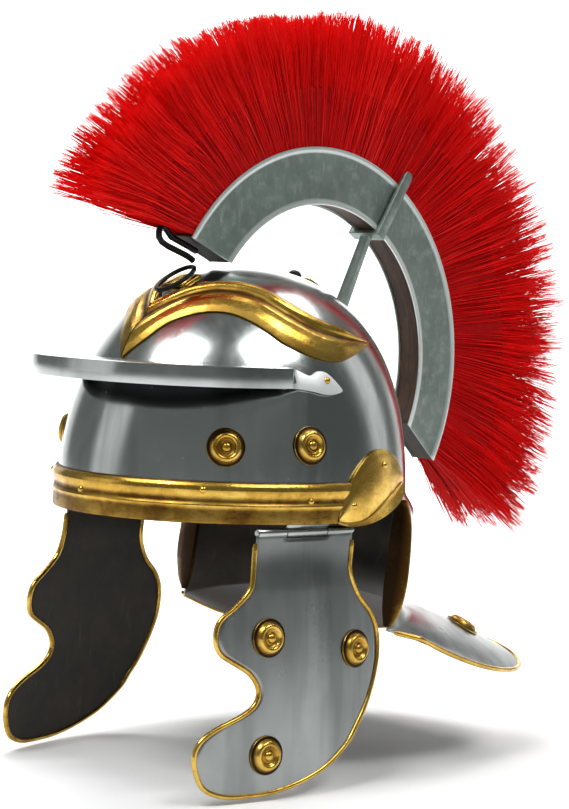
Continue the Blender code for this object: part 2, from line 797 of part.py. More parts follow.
def make_cheek(side, word):
    bm = bmesh.new()
    rows = []
    for z, front, rear in cheek_edges():
        row = []
        for k in range(CHEEK_COLUMNS):
            y = mix(front, rear, k / (CHEEK_COLUMNS - 1))
            row.append(bm.verts.new(cheek_place(side, y, z)))
        rows.append(row)
    for high, low in zip(rows, rows[1:]):
        for k in range(CHEEK_COLUMNS - 1):
            loop = [low[k], low[k + 1], high[k + 1], high[k]]
            bm.faces.new(loop if side > 0 else loop[::-1])
    item = mesh_object("cheek_" + word, bm, STEEL, outward=False)
    wall = item.modifiers.new("sheet", "SOLIDIFY")
    wall.thickness = CHEEK_SHEET
    wall.offset = -1
    length = HINGE_REAR - HINGE_FRONT
    first, second = HINGE_FRONT + 0.29 * length, HINGE_FRONT + 0.72 * length
    room = cutter(cylinder_along("knuckle_room_" + word, hinge_point(side, first),
                                 hinge_point(side, second), KNUCKLE_RADIUS + 2 * GAP, 12, STEEL))
    boolean(item, room, "DIFFERENCE")
    for part, start, end in (("front", HINGE_FRONT, first), ("rear", second, HINGE_REAR)):
        barrel = cutter(cylinder_along("barrel_%s_%s" % (part, word), hinge_point(side, start),
                                       hinge_point(side, end), KNUCKLE_RADIUS, 10, STEEL))
        boolean(item, barrel, "UNION")
    bore = cutter(cylinder_along("pin_room_" + word, hinge_point(side, HINGE_FRONT - 0.002),
                                 hinge_point(side, HINGE_REAR + 0.002),
                                 PIN_RADIUS + GAP, 8, STEEL))
    boolean(item, bore, "DIFFERENCE")
    make_hinge(side, word, first, second)
    make_cheek_edging(side, word)
    # Columns: name, length share, depth share
    for name, along, depth in (("front", -0.611, 0.421), ("rear", 0.082, 0.490),
                               ("low", -0.634, 0.857)):
        y, z = CHEEK_REACH * along, -CHEEK_DROP * depth
        normal = cheek_normal(side, y, z)
        boss("cheek_boss_%s_%s" % (name, word), cheek_place(side, y, z) + normal * GAP, normal)


def make_hinge(side, word, first, second):
    """Bowl half of the hinge: leaf on the inner wall, middle knuckle and pin."""
    inner, outer = [], []
    start, end = first + KNUCKLE_GAP, second - KNUCKLE_GAP
    wall = SHEET + 2 * SEAT
    for share in (1.0, 0.55, 0.12):
        z = LEAF_HEIGHT * share
        ys = [mix(start, end, k / 4) for k in range(5)]
        inner.append([bowl_beside(side, y, z, -wall - LEAF_SHEET) for y in ys])
        outer.append([bowl_beside(side, y, z, -wall) for y in ys])
    low = [hinge_point(side, y) for y in ys]
    inner.append([p - Vector((side * LEAF_SHEET / 2, 0, 0)) for p in low])
    outer.append([p + Vector((side * LEAF_SHEET / 2, 0, 0)) for p in low])
    item = plate("hinge_" + word, inner, outer, STEEL)
    barrel = cutter(cylinder_along("barrel_middle_" + word, hinge_point(side, start),
                                   hinge_point(side, end), KNUCKLE_RADIUS, 10, STEEL))
    pin = cutter(cylinder_along("pin_" + word, hinge_point(side, HINGE_FRONT - 0.0005),
                                hinge_point(side, HINGE_REAR + 0.0005), PIN_RADIUS, 8, STEEL))
    boolean(item, barrel, "UNION")
    boolean(item, pin, "UNION")


def make_cheek_edging(side, word):
    """Brass wire round the free edge of a cheek guard."""
    rows = cheek_edges()
    route = [(front, z) for z, front, rear in rows]
    route += [(rear, z) for z, front, rear in reversed(rows)]
    route = [p for p in route if p[1] < -0.011]
    shifted = []
    for k, (y, z) in enumerate(route):
        before = route[max(k - 1, 0)]
        after = route[min(k + 1, len(route) - 1)]
        dy, dz = after[0] - before[0], after[1] - before[1]
        size = math.hypot(dy, dz)
        step = (EDGING_RADIUS + 3 * GAP) / size
        outer = (y + dz * step, z - dy * step)
        place = cheek_place(side, *outer)
        shifted.append(place - cheek_normal(side, y, z) * CHEEK_SHEET / 2)
    tube("cheek_edging_" + word, resample(shifted, 0.0085), EDGING_RADIUS, BRASS, resolution=0)


# Crest

def crest_point(x, radius, angle):
    return Vector((x, CREST_CENTRE_Y + radius * math.sin(angle),
                   CREST_CENTRE_Z + radius * math.cos(angle)))


def crest_ring(t, section, inset=0.0):
    """Section of the crest box at a share of the way from brow to nape."""
    ring = []
    for x, radius in section:
        depth = (CREST_RADIUS - radius) / CREST_DEPTH
        front = CREST_FRONT + CREST_FRONT_SLANT * depth + inset / CREST_RADIUS
        rear = CREST_REAR + CREST_REAR_SLANT * depth - inset / CREST_RADIUS
        ring.append(crest_point(x, radius, mix(front, rear, t)))
    return ring


def arch(name, section, inset, spec, steps=CREST_STEPS):
    return loft(name, [crest_ring(k / steps, section, inset) for k in range(steps + 1)], spec)


def make_crest_box():
    half = CREST_WIDTH / 2
    base = CREST_RADIUS - CREST_DEPTH
    section = [(half, base), (half, CREST_RADIUS), (-half, CREST_RADIUS), (-half, base)]
    box = arch("crest_box", section, 0.0, ZINC)
    inner = half - CREST_SHEET
    over = 0.004
    slot = [(inner, base - over), (inner, CREST_RADIUS + over),
            (-inner, CREST_RADIUS + over), (-inner, base - over)]
    boolean(box, cutter(arch("crest_slot", slot, 0.0025, ZINC)), "DIFFERENCE")
    fill = inner - GAP
    block = [(fill, base + 0.0015), (fill, CREST_RADIUS - 0.004),
             (-fill, CREST_RADIUS - 0.004), (-fill, base + 0.0015)]
    arch("crest_block", block, 0.0045, WOOD)


def plume_radius(t):
    """Hair length over the crest, a little longer towards the nape."""
    return CREST_RADIUS + PLUME_LENGTH * (1.0 + 0.05 * math.cos(2 * math.pi * t) * (1 - t)
                                          + 0.04 * math.sin(5.3 * t + 0.6))


def make_plume():
    # Columns: share of the half width, share of the hair length
    flank = ((0.00, 0.00), (0.00, 0.175), (0.62, 0.50), (0.97, 0.84), (0.30, 1.0))
    root = CREST_WIDTH / 2 - CREST_SHEET - 2 * GAP
    start = CREST_RADIUS - 0.0035
    rings = []
    for k in range(PLUME_STEPS + 1):
        t = k / PLUME_STEPS
        spread = mix(PLUME_FRONT_SPREAD, PLUME_REAR_SPREAD, ease(t * 1.4))
        lock = LOCK_DEPTH * (1 if k % 2 else -1) * (0.6 + 0.4 * math.sin(k * 1.7))
        tip = plume_radius(t) + lock
        ring = []
        for side in (1, -1):
            for j, (wide, share) in enumerate(flank if side > 0 else flank[::-1]):
                radius = mix(start, tip, share)
                x = spread * wide + 0.5 * lock * side * wide if wide else root
                low = CREST_FRONT + 0.0045 / CREST_RADIUS + 0.012
                high = CREST_REAR - 0.0045 / CREST_RADIUS - 0.012
                flare = mix(-PLUME_FRONT_FLARE, PLUME_REAR_FLARE, t) * share
                ring.append(crest_point(side * x, radius, mix(low, high, t) + flare))
        rings.append(ring)
    loft("plume", rings, HAIR)


def fork_ring(inner, outer, half):
    """Four corners across the fork, from two places given as (x, radius)."""
    along = Vector((0, math.cos(FORK_ANGLE), -math.sin(FORK_ANGLE)))
    return [crest_point(x, radius, FORK_ANGLE) + along * s * half
            for (x, radius), s in ((inner, -1), (outer, -1), (outer, 1), (inner, 1))]


def make_fork():
    base = CREST_RADIUS - CREST_DEPTH - GAP
    side = CREST_WIDTH / 2 + GAP
    half = FORK_BAR / 2
    wide = side + FORK_SHEET
    tip = CREST_RADIUS + FORK_OVERTOP
    # Columns: distance below the tip and half breadth, as shares of the half breadth
    rounding = ((0.1, 0.45), (0.45, 0.85), (1.0, 1.0))
    prongs = []
    for sign in (-1, 1):
        prong = [fork_ring((sign * side, tip - half * low), (sign * wide, tip - half * low),
                           half * breadth) for low, breadth in rounding]
        prong.append(fork_ring((sign * side, base), (sign * wide, base - FORK_SHEET), half))
        prongs.append(prong)
    fork = loft("crest_fork", prongs[0] + prongs[1][::-1], ZINC)
    foot = []
    for x, shift in ((-1, -1), (1, -1), (1, 1), (-1, 1)):
        seat = bowl_over(x * half, FORK_FOOT_Y + shift * FORK_SHEET * 0.7)
        foot.append(seat + bowl_normal(seat) * (SEAT + CROWN_PLATE_SHEET + GAP))
    along = Vector((0, math.cos(FORK_ANGLE), -math.sin(FORK_ANGLE))) * FORK_SHEET * 0.7
    top = crest_point(0, base - FORK_SHEET / 2, FORK_ANGLE)
    head = [top + Vector((x * half * 0.9, 0, 0)) + along * s
            for x, s in ((-1, -1), (1, -1), (1, 1), (-1, 1))]
    boolean(fork, cutter(loft("fork_stem", [foot, head], ZINC)), "UNION")


def make_crown_plate():
    """Brass strip on the crown that the fork stands on."""
    under, over = [], []
    for k in range(9):
        y = mix(CROWN_PLATE_FRONT, CROWN_PLATE_REAR, k / 8)
        width = CROWN_PLATE_WIDTH / 2 * (1 - 0.35 * abs(k / 4 - 1) ** 3)
        thicker = CROWN_PLATE_SWELL * max(1 - k / 5, 0.0)
        lower, upper = [], []
        for share in (-1, -0.5, 0, 0.5, 1):
            seat = bowl_over(share * width, y)
            normal = bowl_normal(seat)
            lower.append(seat + normal * SEAT)
            upper.append(seat + normal * (SEAT + CROWN_PLATE_SHEET + thicker))
        under.append(lower)
        over.append(upper)
    plate("crown_plate", under, over, BRASS)
    seat = bowl_over(0, CROWN_PLATE_FRONT - 0.0070)
    normal = bowl_normal(seat)
    profile = [(r * STUD_RADIUS, h * STUD_HEIGHT) for r, h in (
        (0.0, 1.0), (0.6, 0.93), (1.0, 0.60), (1.0, 0.0), (0.0, 0.0))]
    stand_on(turned("crown_stud", profile, 12, BLACK), seat + normal * GAP, normal)


# Columns: shares of the way back and down from the hook's bend to the ring
HOOK_ROUTE = (
    (-0.03, 0.16), (-0.02, 0.33), (0.07, 0.48), (0.25, 0.60), (0.46, 0.70), (0.66, 0.79),
    (0.84, 0.88), (0.96, 0.96),
)


def make_hook():
    """Black wire hook from the front of the crest box down to the ring."""
    points = []
    for depth in (0.42, 0.22, 0.02):
        radius = CREST_RADIUS - CREST_DEPTH * depth
        face = CREST_FRONT + CREST_FRONT_SLANT * depth
        points.append(crest_point(0, radius, face - 1.3 * (HOOK_WIRE + GAP) / radius))
    # Columns: rise over the crest, turn past its front end
    for rise, turn in ((0.007, 0.032), (0.0152, 0.020), (0.0180, 0.033)):
        points.append(crest_point(0, CREST_RADIUS + rise, CREST_FRONT - turn))
    bend, end = points[-1], ring_end()
    low = end.z + 2 * HOOK_WIRE
    points += [Vector((0, mix(bend.y, end.y, back), mix(bend.z, low, down)))
               for back, down in HOOK_ROUTE]
    points.append(Vector((0, end.y + 0.0008, end.z + RING_WIRE + HOOK_WIRE)))
    tube("crest_hook", points, HOOK_WIRE, BLACK, resolution=2)


def ring_frame():
    seat = bowl_over(0, RING_SEAT_Y)
    normal = bowl_normal(seat)
    along = Vector((0, -normal.z, normal.y)) * -1
    return seat + normal * (SEAT + HOOK_PLATE_SHEET + GAP + RING_WIRE), normal, along


def ring_end():
    middle, normal, along = ring_frame()
    return middle + along * RING_LENGTH / 2


def make_ring():
    middle, normal, along = ring_frame()
    points = []
    for k in range(RING_STEPS):
        turn = 2 * math.pi * k / RING_STEPS
        swing = math.cos(turn)
        points.append(middle + along * swing * RING_LENGTH / 2
                      + Vector((RING_WIDTH / 2 * math.sin(turn), 0, 0)))
    tube("hook_ring", points, RING_WIRE, BLACK, closed=True)
    under, over = [], []
    for k in range(5):
        y = RING_SEAT_Y + mix(-0.002, 0.011, k / 4)
        lower, upper = [], []
        for share in (-1, -0.5, 0, 0.5, 1):
            seat = bowl_over(share * HOOK_PLATE_HALF, y)
            out = bowl_normal(seat)
            lower.append(seat + out * SEAT)
            upper.append(seat + out * (SEAT + HOOK_PLATE_SHEET))
        under.append(lower)
        over.append(upper)
    plate("hook_plate", under, over, BRASS)


make_bowl()
make_neck_edging()
make_brow_band()
make_band_rivets()
make_brow_guard()
make_bowl_bosses()
make_neck_bosses()
for SIDE, WORD in ((1, "left"), (-1, "right")):
    make_eyebrow(SIDE, WORD)
    make_ear_guard(SIDE, WORD)
    make_nape_edging(SIDE, WORD)
    make_cheek(SIDE, WORD)
make_crest_box()
make_plume()
make_fork()
make_crown_plate()
make_hook()
make_ring()
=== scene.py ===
"""Looks of the crested legionary helmet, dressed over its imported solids."""

import sys

import json
import math
from contextlib import contextmanager

import bmesh
import bpy
import numpy as np
from bpy.props import FloatProperty, FloatVectorProperty, IntProperty, PointerProperty
from mathutils import Matrix, Vector
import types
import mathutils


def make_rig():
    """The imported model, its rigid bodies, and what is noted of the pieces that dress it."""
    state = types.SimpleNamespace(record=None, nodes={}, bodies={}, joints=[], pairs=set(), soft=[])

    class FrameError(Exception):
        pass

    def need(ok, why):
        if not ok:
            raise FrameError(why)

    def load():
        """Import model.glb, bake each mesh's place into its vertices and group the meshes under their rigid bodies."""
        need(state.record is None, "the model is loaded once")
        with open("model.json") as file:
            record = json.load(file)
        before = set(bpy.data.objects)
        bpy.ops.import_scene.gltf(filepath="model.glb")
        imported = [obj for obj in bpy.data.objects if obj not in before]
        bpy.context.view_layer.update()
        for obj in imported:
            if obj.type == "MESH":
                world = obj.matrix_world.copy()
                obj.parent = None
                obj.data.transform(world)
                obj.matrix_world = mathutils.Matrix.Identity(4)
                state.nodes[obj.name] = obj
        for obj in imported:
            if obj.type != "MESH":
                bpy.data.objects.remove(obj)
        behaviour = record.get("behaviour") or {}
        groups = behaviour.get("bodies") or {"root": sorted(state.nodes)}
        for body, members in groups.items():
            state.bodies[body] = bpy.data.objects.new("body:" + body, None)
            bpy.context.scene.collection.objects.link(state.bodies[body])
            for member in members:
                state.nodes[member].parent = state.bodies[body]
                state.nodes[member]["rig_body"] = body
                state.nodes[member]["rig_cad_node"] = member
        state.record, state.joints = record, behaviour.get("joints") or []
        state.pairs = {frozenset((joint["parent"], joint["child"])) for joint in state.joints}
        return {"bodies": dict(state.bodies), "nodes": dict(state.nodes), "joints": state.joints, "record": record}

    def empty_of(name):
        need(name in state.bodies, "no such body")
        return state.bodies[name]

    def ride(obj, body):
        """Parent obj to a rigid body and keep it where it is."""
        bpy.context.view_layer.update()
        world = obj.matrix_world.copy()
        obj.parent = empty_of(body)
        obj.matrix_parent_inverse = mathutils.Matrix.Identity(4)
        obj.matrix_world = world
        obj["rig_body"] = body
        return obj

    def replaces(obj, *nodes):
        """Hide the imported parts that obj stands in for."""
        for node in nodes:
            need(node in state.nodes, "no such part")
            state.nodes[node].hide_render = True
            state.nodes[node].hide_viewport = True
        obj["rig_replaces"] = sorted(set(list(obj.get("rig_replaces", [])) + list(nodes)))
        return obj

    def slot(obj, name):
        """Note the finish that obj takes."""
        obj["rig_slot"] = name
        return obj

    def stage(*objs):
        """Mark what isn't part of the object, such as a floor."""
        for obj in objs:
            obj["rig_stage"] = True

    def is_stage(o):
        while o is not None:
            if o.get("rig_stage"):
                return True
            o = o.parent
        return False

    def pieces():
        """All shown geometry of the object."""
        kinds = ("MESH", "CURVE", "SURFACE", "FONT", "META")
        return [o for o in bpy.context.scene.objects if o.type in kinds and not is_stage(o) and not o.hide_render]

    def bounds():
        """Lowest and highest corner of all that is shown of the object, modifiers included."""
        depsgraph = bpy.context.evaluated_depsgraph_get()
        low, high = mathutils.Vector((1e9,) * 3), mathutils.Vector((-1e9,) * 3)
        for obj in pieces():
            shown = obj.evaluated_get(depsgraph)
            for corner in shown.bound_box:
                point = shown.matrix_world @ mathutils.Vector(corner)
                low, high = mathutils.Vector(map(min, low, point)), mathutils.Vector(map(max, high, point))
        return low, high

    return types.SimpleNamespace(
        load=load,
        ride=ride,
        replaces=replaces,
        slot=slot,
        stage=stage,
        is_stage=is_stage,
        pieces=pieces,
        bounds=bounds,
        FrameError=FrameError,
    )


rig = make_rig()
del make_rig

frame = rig.load()
CAD_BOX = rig.bounds()

bl_info = {
    "name": "Legionary Helmet",
    "version": (1, 0, 0),
    "blender": (4, 5, 0),
    "location": "3D View > Sidebar > Helmet",
    "description": "Polished helmet with brass trim, hinged cheek guards and a horsehair crest",
    "category": "Object",
}

# Sign of X and word of each side; the wearer's left is +X
SIDES = ((1, "left"), (-1, "right"))

# Tables that shape the pieces, as shares of the sidebar's sizes

# Depth share at the middle and side, width share, front and back shares
NAPE_SECTIONS = (
    (0.00, -0.06, 0.955, 1.19, 1.078),
    (0.20, 0.11, 0.952, 1.15, 1.046),
    (0.43, 0.34, 0.952, 1.11, 1.030),
    (0.62, 0.60, 0.952, 1.06, 0.992),
    (0.76, 0.82, 0.963, 1.03, 1.000),
    (0.85, 1.00, 1.000, 1.00, 1.065),
)
# Share down the nape, reach outward as a share of the strip's widest place
NAPE_EDGE_SECTIONS = (
    (-0.16, 0.38), (0.06, 0.84), (0.36, 0.99), (0.62, 1.00), (0.84, 0.71), (0.97, 0.22),
)
# Share of the way to the tab's end, top and bottom as shares of the guard's height
TAB_SECTIONS = (
    (0.00, 0.92, -0.06), (0.28, 0.62, -0.16), (0.50, 0.84, -0.28),
    (0.68, 0.78, -0.30), (0.86, 0.40, -0.24), (1.00, -0.02, -0.14),
)
# Lower edge x and y, upper edge x and y, as shares of the bowl's half sizes
EYEBROW_ROWS = (
    (0.004, -0.829, 0.004, -0.600), (0.108, -0.761, 0.060, -0.545),
    (0.186, -0.680, 0.104, -0.508), (0.272, -0.606, 0.150, -0.455),
    (0.361, -0.530, 0.210, -0.398), (0.447, -0.464, 0.306, -0.318),
    (0.536, -0.408, 0.412, -0.242), (0.633, -0.346, 0.507, -0.191),
    (0.703, -0.290, 0.565, -0.148), (0.770, -0.190, 0.615, -0.100),
    (0.805, -0.090, 0.660, -0.030), (0.812, 0.010, 0.682, 0.060),
    (0.792, 0.110, 0.692, 0.140), (0.745, 0.225, 0.690, 0.235),
    (0.680, 0.335, 0.668, 0.345),
)
# Share across, relief
EYEBROW_PROFILE = (
    (0.00, 0.00), (0.03, 0.10), (0.14, 0.42), (0.30, 0.64), (0.45, 0.55), (0.56, 0.20),
    (0.62, 0.12), (0.68, 0.22), (0.76, 0.80), (0.84, 1.00), (0.93, 0.82), (0.98, 0.35),
    (1.00, 0.10),
)
# Height share, relief
BAND_PROFILE = (
    (0.00, 0.30), (0.02, 0.44), (0.10, 0.46), (0.34, 0.42), (0.38, 0.55), (0.43, 0.78),
    (0.48, 0.55), (0.52, 0.40), (0.58, 0.40), (0.64, 0.60), (0.72, 0.90), (0.80, 1.00),
    (0.88, 0.92), (0.95, 0.62), (1.00, 0.20),
)
# Share along, lower and upper edge as shares of the height, share of the lip
EAR_ROWS = (
    (0.00, 0.03, 0.10, 0.15), (0.08, 0.01, 0.37, 0.25), (0.18, 0.00, 0.63, 0.30),
    (0.34, 0.03, 0.86, 0.45), (0.51, 0.14, 0.99, 0.75), (0.70, 0.30, 0.99, 1.00),
    (0.88, 0.43, 0.86, 0.95), (1.00, 0.52, 0.66, 0.60),
)
# Radius share, height share
BOSS_PROFILE = (
    (0.00, 1.00), (0.08, 0.985), (0.15, 0.93), (0.21, 0.82), (0.25, 0.66), (0.27, 0.50),
    (0.32, 0.44), (0.40, 0.46), (0.46, 0.62), (0.52, 0.80), (0.58, 0.88), (0.65, 0.86),
    (0.72, 0.74), (0.78, 0.52), (0.82, 0.30), (0.86, 0.22), (0.93, 0.20), (0.98, 0.17),
    (1.00, 0.10), (1.00, 0.00), (0.00, 0.00),
)
RIVET_PROFILE = (
    (0.00, 1.00), (0.30, 0.95), (0.55, 0.82), (0.78, 0.58), (0.93, 0.28), (1.00, 0.00),
    (0.00, 0.00),
)
# Share of the drop, front and rear edges in tenths of a metre
CHEEK_ROWS = (
    (0.030, -0.675, 0.062), (0.120, -0.682, 0.060), (0.185, -0.694, 0.054),
    (0.245, -0.724, 0.085), (0.305, -0.830, 0.145), (0.352, -0.935, 0.225),
    (0.410, -0.965, 0.280), (0.465, -0.942, 0.295), (0.505, -0.845, 0.294),
    (0.548, -0.737, 0.285), (0.613, -0.677, 0.252), (0.672, -0.708, 0.210),
    (0.712, -0.813, 0.175), (0.747, -0.957, 0.140), (0.790, -1.068, 0.085),
    (0.845, -1.108, 0.015), (0.922, -1.085, -0.165), (0.972, -1.020, -0.385),
    (1.000, -0.880, -0.620),
)


def length_prop(name, description, default):
    return FloatProperty(name=name, description=description, default=default, unit="LENGTH")


def colour_prop(name, description, default):
    return FloatVectorProperty(name=name, description=description, default=default,
                               subtype="COLOR", size=3, min=0.0, max=1.0)


class HelmetSizes(bpy.types.PropertyGroup):
    """Sizes of the dressed helmet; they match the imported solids"""

    bowl_half_width: length_prop("Bowl half width", "Half width at the rim", 0.100)
    bowl_half_length: length_prop("Bowl half length", "Half length at the rim", 0.125)
    bowl_height: length_prop("Bowl height", "Rim to crown", 0.153)
    bowl_fullness: FloatProperty(name="Bowl fullness", default=2.2, min=1.5, max=4.0,
                                 description="How square the bowl's side view is")
    sheet: length_prop("Sheet", "Thickness of the steel sheet", 0.0012)
    clearance: length_prop("Clearance", "Bowl to the trim on it", 0.0003)
    band_height: length_prop("Band height", "Height of the brow band", 0.025)
    band_proud: length_prop("Band relief", "How far the band's ribs stand out", 0.0030)
    guard_top: length_prop("Brow guard level", "Height of the brow guard's top", 0.093)
    guard_height: length_prop("Brow guard height", "Height of its standing strip", 0.012)
    guard_reach: length_prop("Brow guard reach", "How far ahead it stands", 0.142)
    nape_drop: length_prop("Nape drop", "Rim to the neck guard's corner", 0.0705)
    boss_radius: length_prop("Boss radius", "Radius of the turned bosses", 0.01175)
    boss_height: length_prop("Boss height", "Height of the turned bosses", 0.0048)
    rivet_radius: length_prop("Rivet radius", "Radius of the small rivets", 0.0022)
    cheek_drop: length_prop("Cheek guard drop", "Rim to the cheek guard's tip", 0.1585)
    wire_radius: length_prop("Edging radius", "Radius of the brass edging", 0.0016)
    crest_radius: length_prop("Crest radius", "Outer radius of the crest box", 0.1412)
    crest_depth: length_prop("Crest depth", "Radial depth of the crest box", 0.0375)
    crest_width: length_prop("Crest width", "Width of the crest box", 0.020)
    hair_length: length_prop("Hair length", "Length of hair over the box", 0.089)
    hair_radius: length_prop("Hair radius", "Radius of one drawn strand", 0.00037)
    hair_count: IntProperty(name="Hair count", description="Strands in one bundle",
                            default=5000, min=100, max=9000)
    seed: IntProperty(name="Seed", description="Seed of the scattered detail", default=7)


class HelmetColours(bpy.types.PropertyGroup):
    """Colours of the finishes"""

    steel: colour_prop("Steel", "Polished steel", (0.57, 0.60, 0.59))
    # Painted reflection: dark streaks that stand in for the dark surroundings mirrored in the polished steel
    steel_shade: colour_prop("Steel shade", "Dark streaks in the steel", (0.22, 0.24, 0.23))
    steel_inside: colour_prop("Steel inside", "Dull inner faces", (0.018, 0.014, 0.011))
    brass: colour_prop("Brass", "Clean brass", (0.60, 0.36, 0.060))
    # Dark brass of the grooves, also used as painted shade on the nape strips
    tarnish: colour_prop("Tarnish", "Brass in the grooves", (0.105, 0.048, 0.010))
    sheet: colour_prop("Crest sheet", "Grey-green sheet metal", (0.27, 0.33, 0.295))
    wood: colour_prop("Wood", "Block in the crest box", (0.020, 0.010, 0.007))
    iron: colour_prop("Iron", "Blackened hook and ring", (0.012, 0.012, 0.012))
    hair_tip: colour_prop("Hair tips", "Dyed hair at its tips", (0.95, 0.005, 0.004))
    # The dark red of strands in the plume's shade, painted into their colour
    hair_root: colour_prop("Hair roots", "Dyed hair in the shade", (0.50, 0.001, 0.002))
    floor: colour_prop("Floor", "Pale floor", (0.90, 0.90, 0.90))


def sizes():
    return bpy.context.scene.helmet_sizes


def colours():
    return bpy.context.scene.helmet_colours


def mix(a, b, t):
    """A share t of the way from a to b."""
    return a + (b - a) * t


def ease(t):
    """Eased step from 0 to 1."""
    t = min(max(t, 0.0), 1.0)
    return t * t * (3 - 2 * t)


def smooth_rows(rows, parts):
    """Catmull-Rom rows between rows of numbers or of points."""
    result = []
    for k in range(len(rows) - 1):
        before, start = rows[max(k - 1, 0)], rows[k]
        end, after = rows[k + 1], rows[min(k + 2, len(rows) - 1)]
        for step in range(parts):
            t = step / parts
            result.append([
                0.5 * (2 * b + (c - a) * t + (2 * a - 5 * b + 4 * c - d) * t * t
                       + (3 * b - a - 3 * c + d) * t ** 3)
                for a, b, c, d in zip(before, start, end, after)])
    result.append(list(rows[-1]))
    return result


def between(table, at, column=1):
    """Value of a table's column at a place in its first column."""
    return float(np.interp(at, [row[0] for row in table], [row[column] for row in table]))


# Node building

class Value:
    """An output socket that takes part in Python expressions."""

    def __init__(self, tree, socket):
        self.tree, self.socket = tree, socket

    def maths(self, operation, first, second):
        values = {0: first, 1: second}
        return self.tree.add("ShaderNodeMath", {"operation": operation}, values)[0]

    def __add__(self, other):
        return self.maths("ADD", self, other)

    def __radd__(self, other):
        return self.maths("ADD", other, self)

    def __sub__(self, other):
        return self.maths("SUBTRACT", self, other)

    def __rsub__(self, other):
        return self.maths("SUBTRACT", other, self)

    def __mul__(self, other):
        return self.maths("MULTIPLY", self, other)

    def __rmul__(self, other):
        return self.maths("MULTIPLY", other, self)

    def __pow__(self, other):
        return self.maths("POWER", self, other)

    def clamped(self, low=0.0, high=1.0):
        return self.maths("MAXIMUM", self.maths("MINIMUM", self, high), low)

    def above(self, low, high):
        """0 below low, 1 over high and a straight ramp between them."""
        values = {"Value": self, "From Min": low, "From Max": high}
        return self.tree.add("ShaderNodeMapRange", {"clamp": True}, values)[0]


class Node:
    """A node whose outputs are read as values."""

    def __init__(self, tree, node):
        self.tree, self.node = tree, node

    def __getitem__(self, key):
        return Value(self.tree, self.node.outputs[key])


class Tree:
    """Adds nodes to a shader or geometry tree."""

    def __init__(self, nodes):
        self.nodes = nodes

    def add(self, kind, settings=None, values=None):
        node = self.nodes.nodes.new(kind)
        for key, value in (settings or {}).items():
            setattr(node, key, value)
        self.fill(node, values or {})
        return Node(self, node)

    def fill(self, node, values):
        """Link or set the named inputs of a node."""
        for key, value in values.items():
            socket = node.inputs[key]
            if isinstance(value, Value):
                self.nodes.links.new(value.socket, socket)
            elif socket.type == "RGBA" and len(value) == 3:
                socket.default_value = (*value, 1.0)
            else:
                socket.default_value = value


class Finish(Tree):
    """A material whose nodes end in one Principled shader."""

    def __init__(self, name):
        self.material = bpy.data.materials.new(name)
        self.material.use_nodes = True
        super().__init__(self.material.node_tree)
        self.nodes.nodes.clear()
        self.shader = self.add("ShaderNodeBsdfPrincipled")
        out = self.add("ShaderNodeOutputMaterial")
        self.nodes.links.new(self.shader.node.outputs[0], out.node.inputs[0])
        self.place = self.add("ShaderNodeTexCoord")["Object"]

    def stretch(self, x, y, z):
        values = {0: self.place, 1: (x, y, z)}
        return self.add("ShaderNodeVectorMath", {"operation": "MULTIPLY"}, values)[0]

    def noise(self, scale, detail=3.0, roughness=0.5, place=None, distortion=0.0):
        return self.add("ShaderNodeTexNoise", {}, {
            "Vector": place or self.place, "Scale": scale, "Detail": detail,
            "Roughness": roughness, "Distortion": distortion})[0]

    def attribute(self, name):
        return self.add("ShaderNodeAttribute", {"attribute_name": name})["Fac"]

    def blend(self, factor, first, second):
        values = {0: factor, 6: first, 7: second}
        return self.add("ShaderNodeMix", {"data_type": "RGBA"}, values)[2]

    def bump(self, height, strength, distance, normal=None):
        values = {"Height": height, "Strength": strength, "Distance": distance}
        if normal:
            values["Normal"] = normal
        return self.add("ShaderNodeBump", {}, values)["Normal"]

    def feed(self, **values):
        """Fill the shader's sockets, named in lower case with underscores."""
        for key, value in values.items():
            label = key.replace("_", " ").title().replace("Ior", "IOR")
            self.fill(self.shader.node, {label: value})
        return self.material


FINISHES = {}


def dimmed(colour, share):
    return tuple(c * share for c in colour)


def finish(name):
    """The finish of that name, made the first time it is asked for."""
    if name not in FINISHES:
        FINISHES[name] = globals()["make_" + name]()
    return FINISHES[name]


def make_polished_steel():
    m = Finish("polished_steel")
    haze = m.noise(16.0, 4.0, 0.6)
    # Painted reflection: the long stretched streaks darken the steel's colour where it would mirror dark surroundings
    streak = m.noise(16.0, 4.0, 0.6, m.stretch(1.0, 1.0, 0.09), 0.5)
    smear = m.noise(60.0, 3.0, 0.6, m.stretch(1.0, 1.0, 0.35))
    spots = m.noise(260.0, 2.0, 0.5).above(0.70, 0.80)
    colour = m.blend(haze.above(0.35, 0.75), colours().steel, dimmed(colours().steel, 0.84))
    colour = m.blend(streak.above(0.46, 0.62) * 0.72, colour, colours().steel_shade)
    colour = m.blend(spots * 0.25, colour, (0.30, 0.28, 0.26))
    # Painted shade: the recess attribute darkens the steel towards black under the brow guard, over the nape and neck
    # guard and on the cheek plates, and also roughens it
    shade = m.attribute("recess")
    colour = m.blend(shade, colour, (0.020, 0.020, 0.022))
    # Painted highlight: the brow guard's tab is lightened where this attribute is set, and roughened
    worn = m.attribute("worn")
    colour = m.blend(worn * (1.0 - shade), colour, (0.86, 0.88, 0.88))
    rough = (0.15 + 0.36 * worn + 0.30 * shade + 0.10 * haze.above(0.35, 0.8)
             + 0.08 * smear.above(0.45, 0.8) + 0.10 * spots)
    wave = m.bump(m.noise(11.0, 2.0, 0.5), 0.20, 0.0035)
    return m.feed(base_color=colour, metallic=1.0, roughness=rough, normal=wave)


